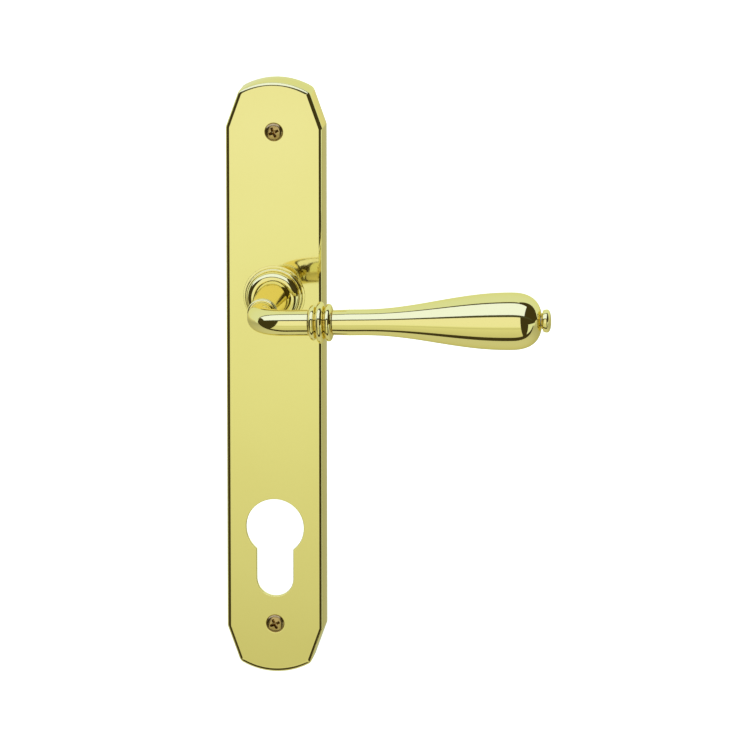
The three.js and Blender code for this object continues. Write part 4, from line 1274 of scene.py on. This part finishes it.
strips = [
    ("front_panel", (-40, 27), (FRONT_START, FRONT_END), front_light, (-26, 22)),
    ("top_softbox", (-65, 36), (TOP_START, TOP_END), top_light),
    ("low_back_panel", FULL_WIDTH, (BACK, LOW_GAP_START), low_bounce),
    ("lower_gap", FULL_WIDTH, (LOW_GAP_START, FRONT_START), dark),
    ("upper_gap", FULL_WIDTH, (FRONT_END, TOP_START), gap),
    ("overhead_gap", FULL_WIDTH, (TOP_END, OVERHEAD_GAP_END), dark),
]
for name, across, upwards, material, *leaning in strips:
    card(name, along_lever, across, upwards, STRIP_DISTANCE, material, *leaning)
flags = [
    ("left_flag", (-88, -6), (-58, 35)),
    ("right_flag_low", (18, 56), (-58, -3)),
    ("right_flag_high", (18, 118), (-3, 78)),
]
for name, across, upwards in flags:
    card(name, direction, across, upwards, FLAG_DISTANCE, dark)

FLOOR_DROP = 0.75
FLOOR_RADIUS = 14.0
FLOOR_SEGMENTS = 96
FLOOR_GLOW = 0.55
floor_bm = bmesh.new()
bmesh.ops.create_circle(floor_bm, cap_ends=True, segments=FLOOR_SEGMENTS, radius=FLOOR_RADIUS)
floor = mesh_object(floor_bm, "floor")
floor.location = PLATE_MIDDLE - Vector((0, 0, FLOOR_DROP))
paper = Nodes("floor_paper")
paper.set(Roughness=0.9, Emission_Color=(1, 1, 1, 1), Emission_Strength=FLOOR_GLOW)
fibre = paper.ranged(paper.noise(FIBRE_SCALE, 3.0), 0.0, 1.0)
paper_tone = paper.blend(fibre, (0.9, 0.9, 0.9), (0.93, 0.93, 0.93))
paper.link(paper_tone, paper.shader.inputs["Base Color"])
floor.data.materials.append(paper.material)
floor.visible_glossy = False

# The room light is pale green. The camera itself sees plain white.
ROOM_COLOUR = (0.86, 0.99, 0.86, 1)
ROOM_STRENGTH = 0.93
world = bpy.data.worlds.new("studio")
bpy.context.scene.world = world
world.use_nodes = True
sky = world.node_tree
background = sky.nodes["Background"]
background.inputs["Color"].default_value = ROOM_COLOUR
background.inputs["Strength"].default_value = ROOM_STRENGTH
backdrop = sky.nodes.new("ShaderNodeBackground")
backdrop.inputs["Color"].default_value = (1, 1, 1, 1)
backdrop.inputs["Strength"].default_value = 1.0
seen = sky.nodes.new("ShaderNodeLightPath")
mix = sky.nodes.new("ShaderNodeMixShader")
sky.links.new(seen.outputs["Is Camera Ray"], mix.inputs["Fac"])
sky.links.new(background.outputs["Background"], mix.inputs[1])
sky.links.new(backdrop.outputs["Background"], mix.inputs[2])
sky.links.new(mix.outputs["Shader"], sky.nodes["World Output"].inputs["Surface"])
bpy.context.scene.view_settings.view_transform = "Standard"

# ---------------------------------------------------------------- camera

CAMERA_AZIMUTH = 7.29
CAMERA_ELEVATION = 12.52
CAMERA_DISTANCE = 3.0
CAMERA_LENS = 370.2
SENSOR_WIDTH = 36
CLIP_END = 100
AIM_RIGHT = 0.03729
AIM_DOWN = 0.00105

away = direction(CAMERA_AZIMUTH, CAMERA_ELEVATION)
right = direction(CAMERA_AZIMUTH + 90, 0)
upward = right.cross(-away)
aim = PLATE_MIDDLE + right * AIM_RIGHT - upward * AIM_DOWN
camera = scene_object("camera", bpy.data.cameras.new("camera"))
camera.location = aim + away * CAMERA_DISTANCE
camera.rotation_mode = "QUATERNION"
camera.rotation_quaternion = (-away).to_track_quat("-Z", "Y")
camera.data.lens = CAMERA_LENS
camera.data.sensor_width = SENSOR_WIDTH
camera.data.clip_end = CLIP_END
bpy.context.scene.camera = camera
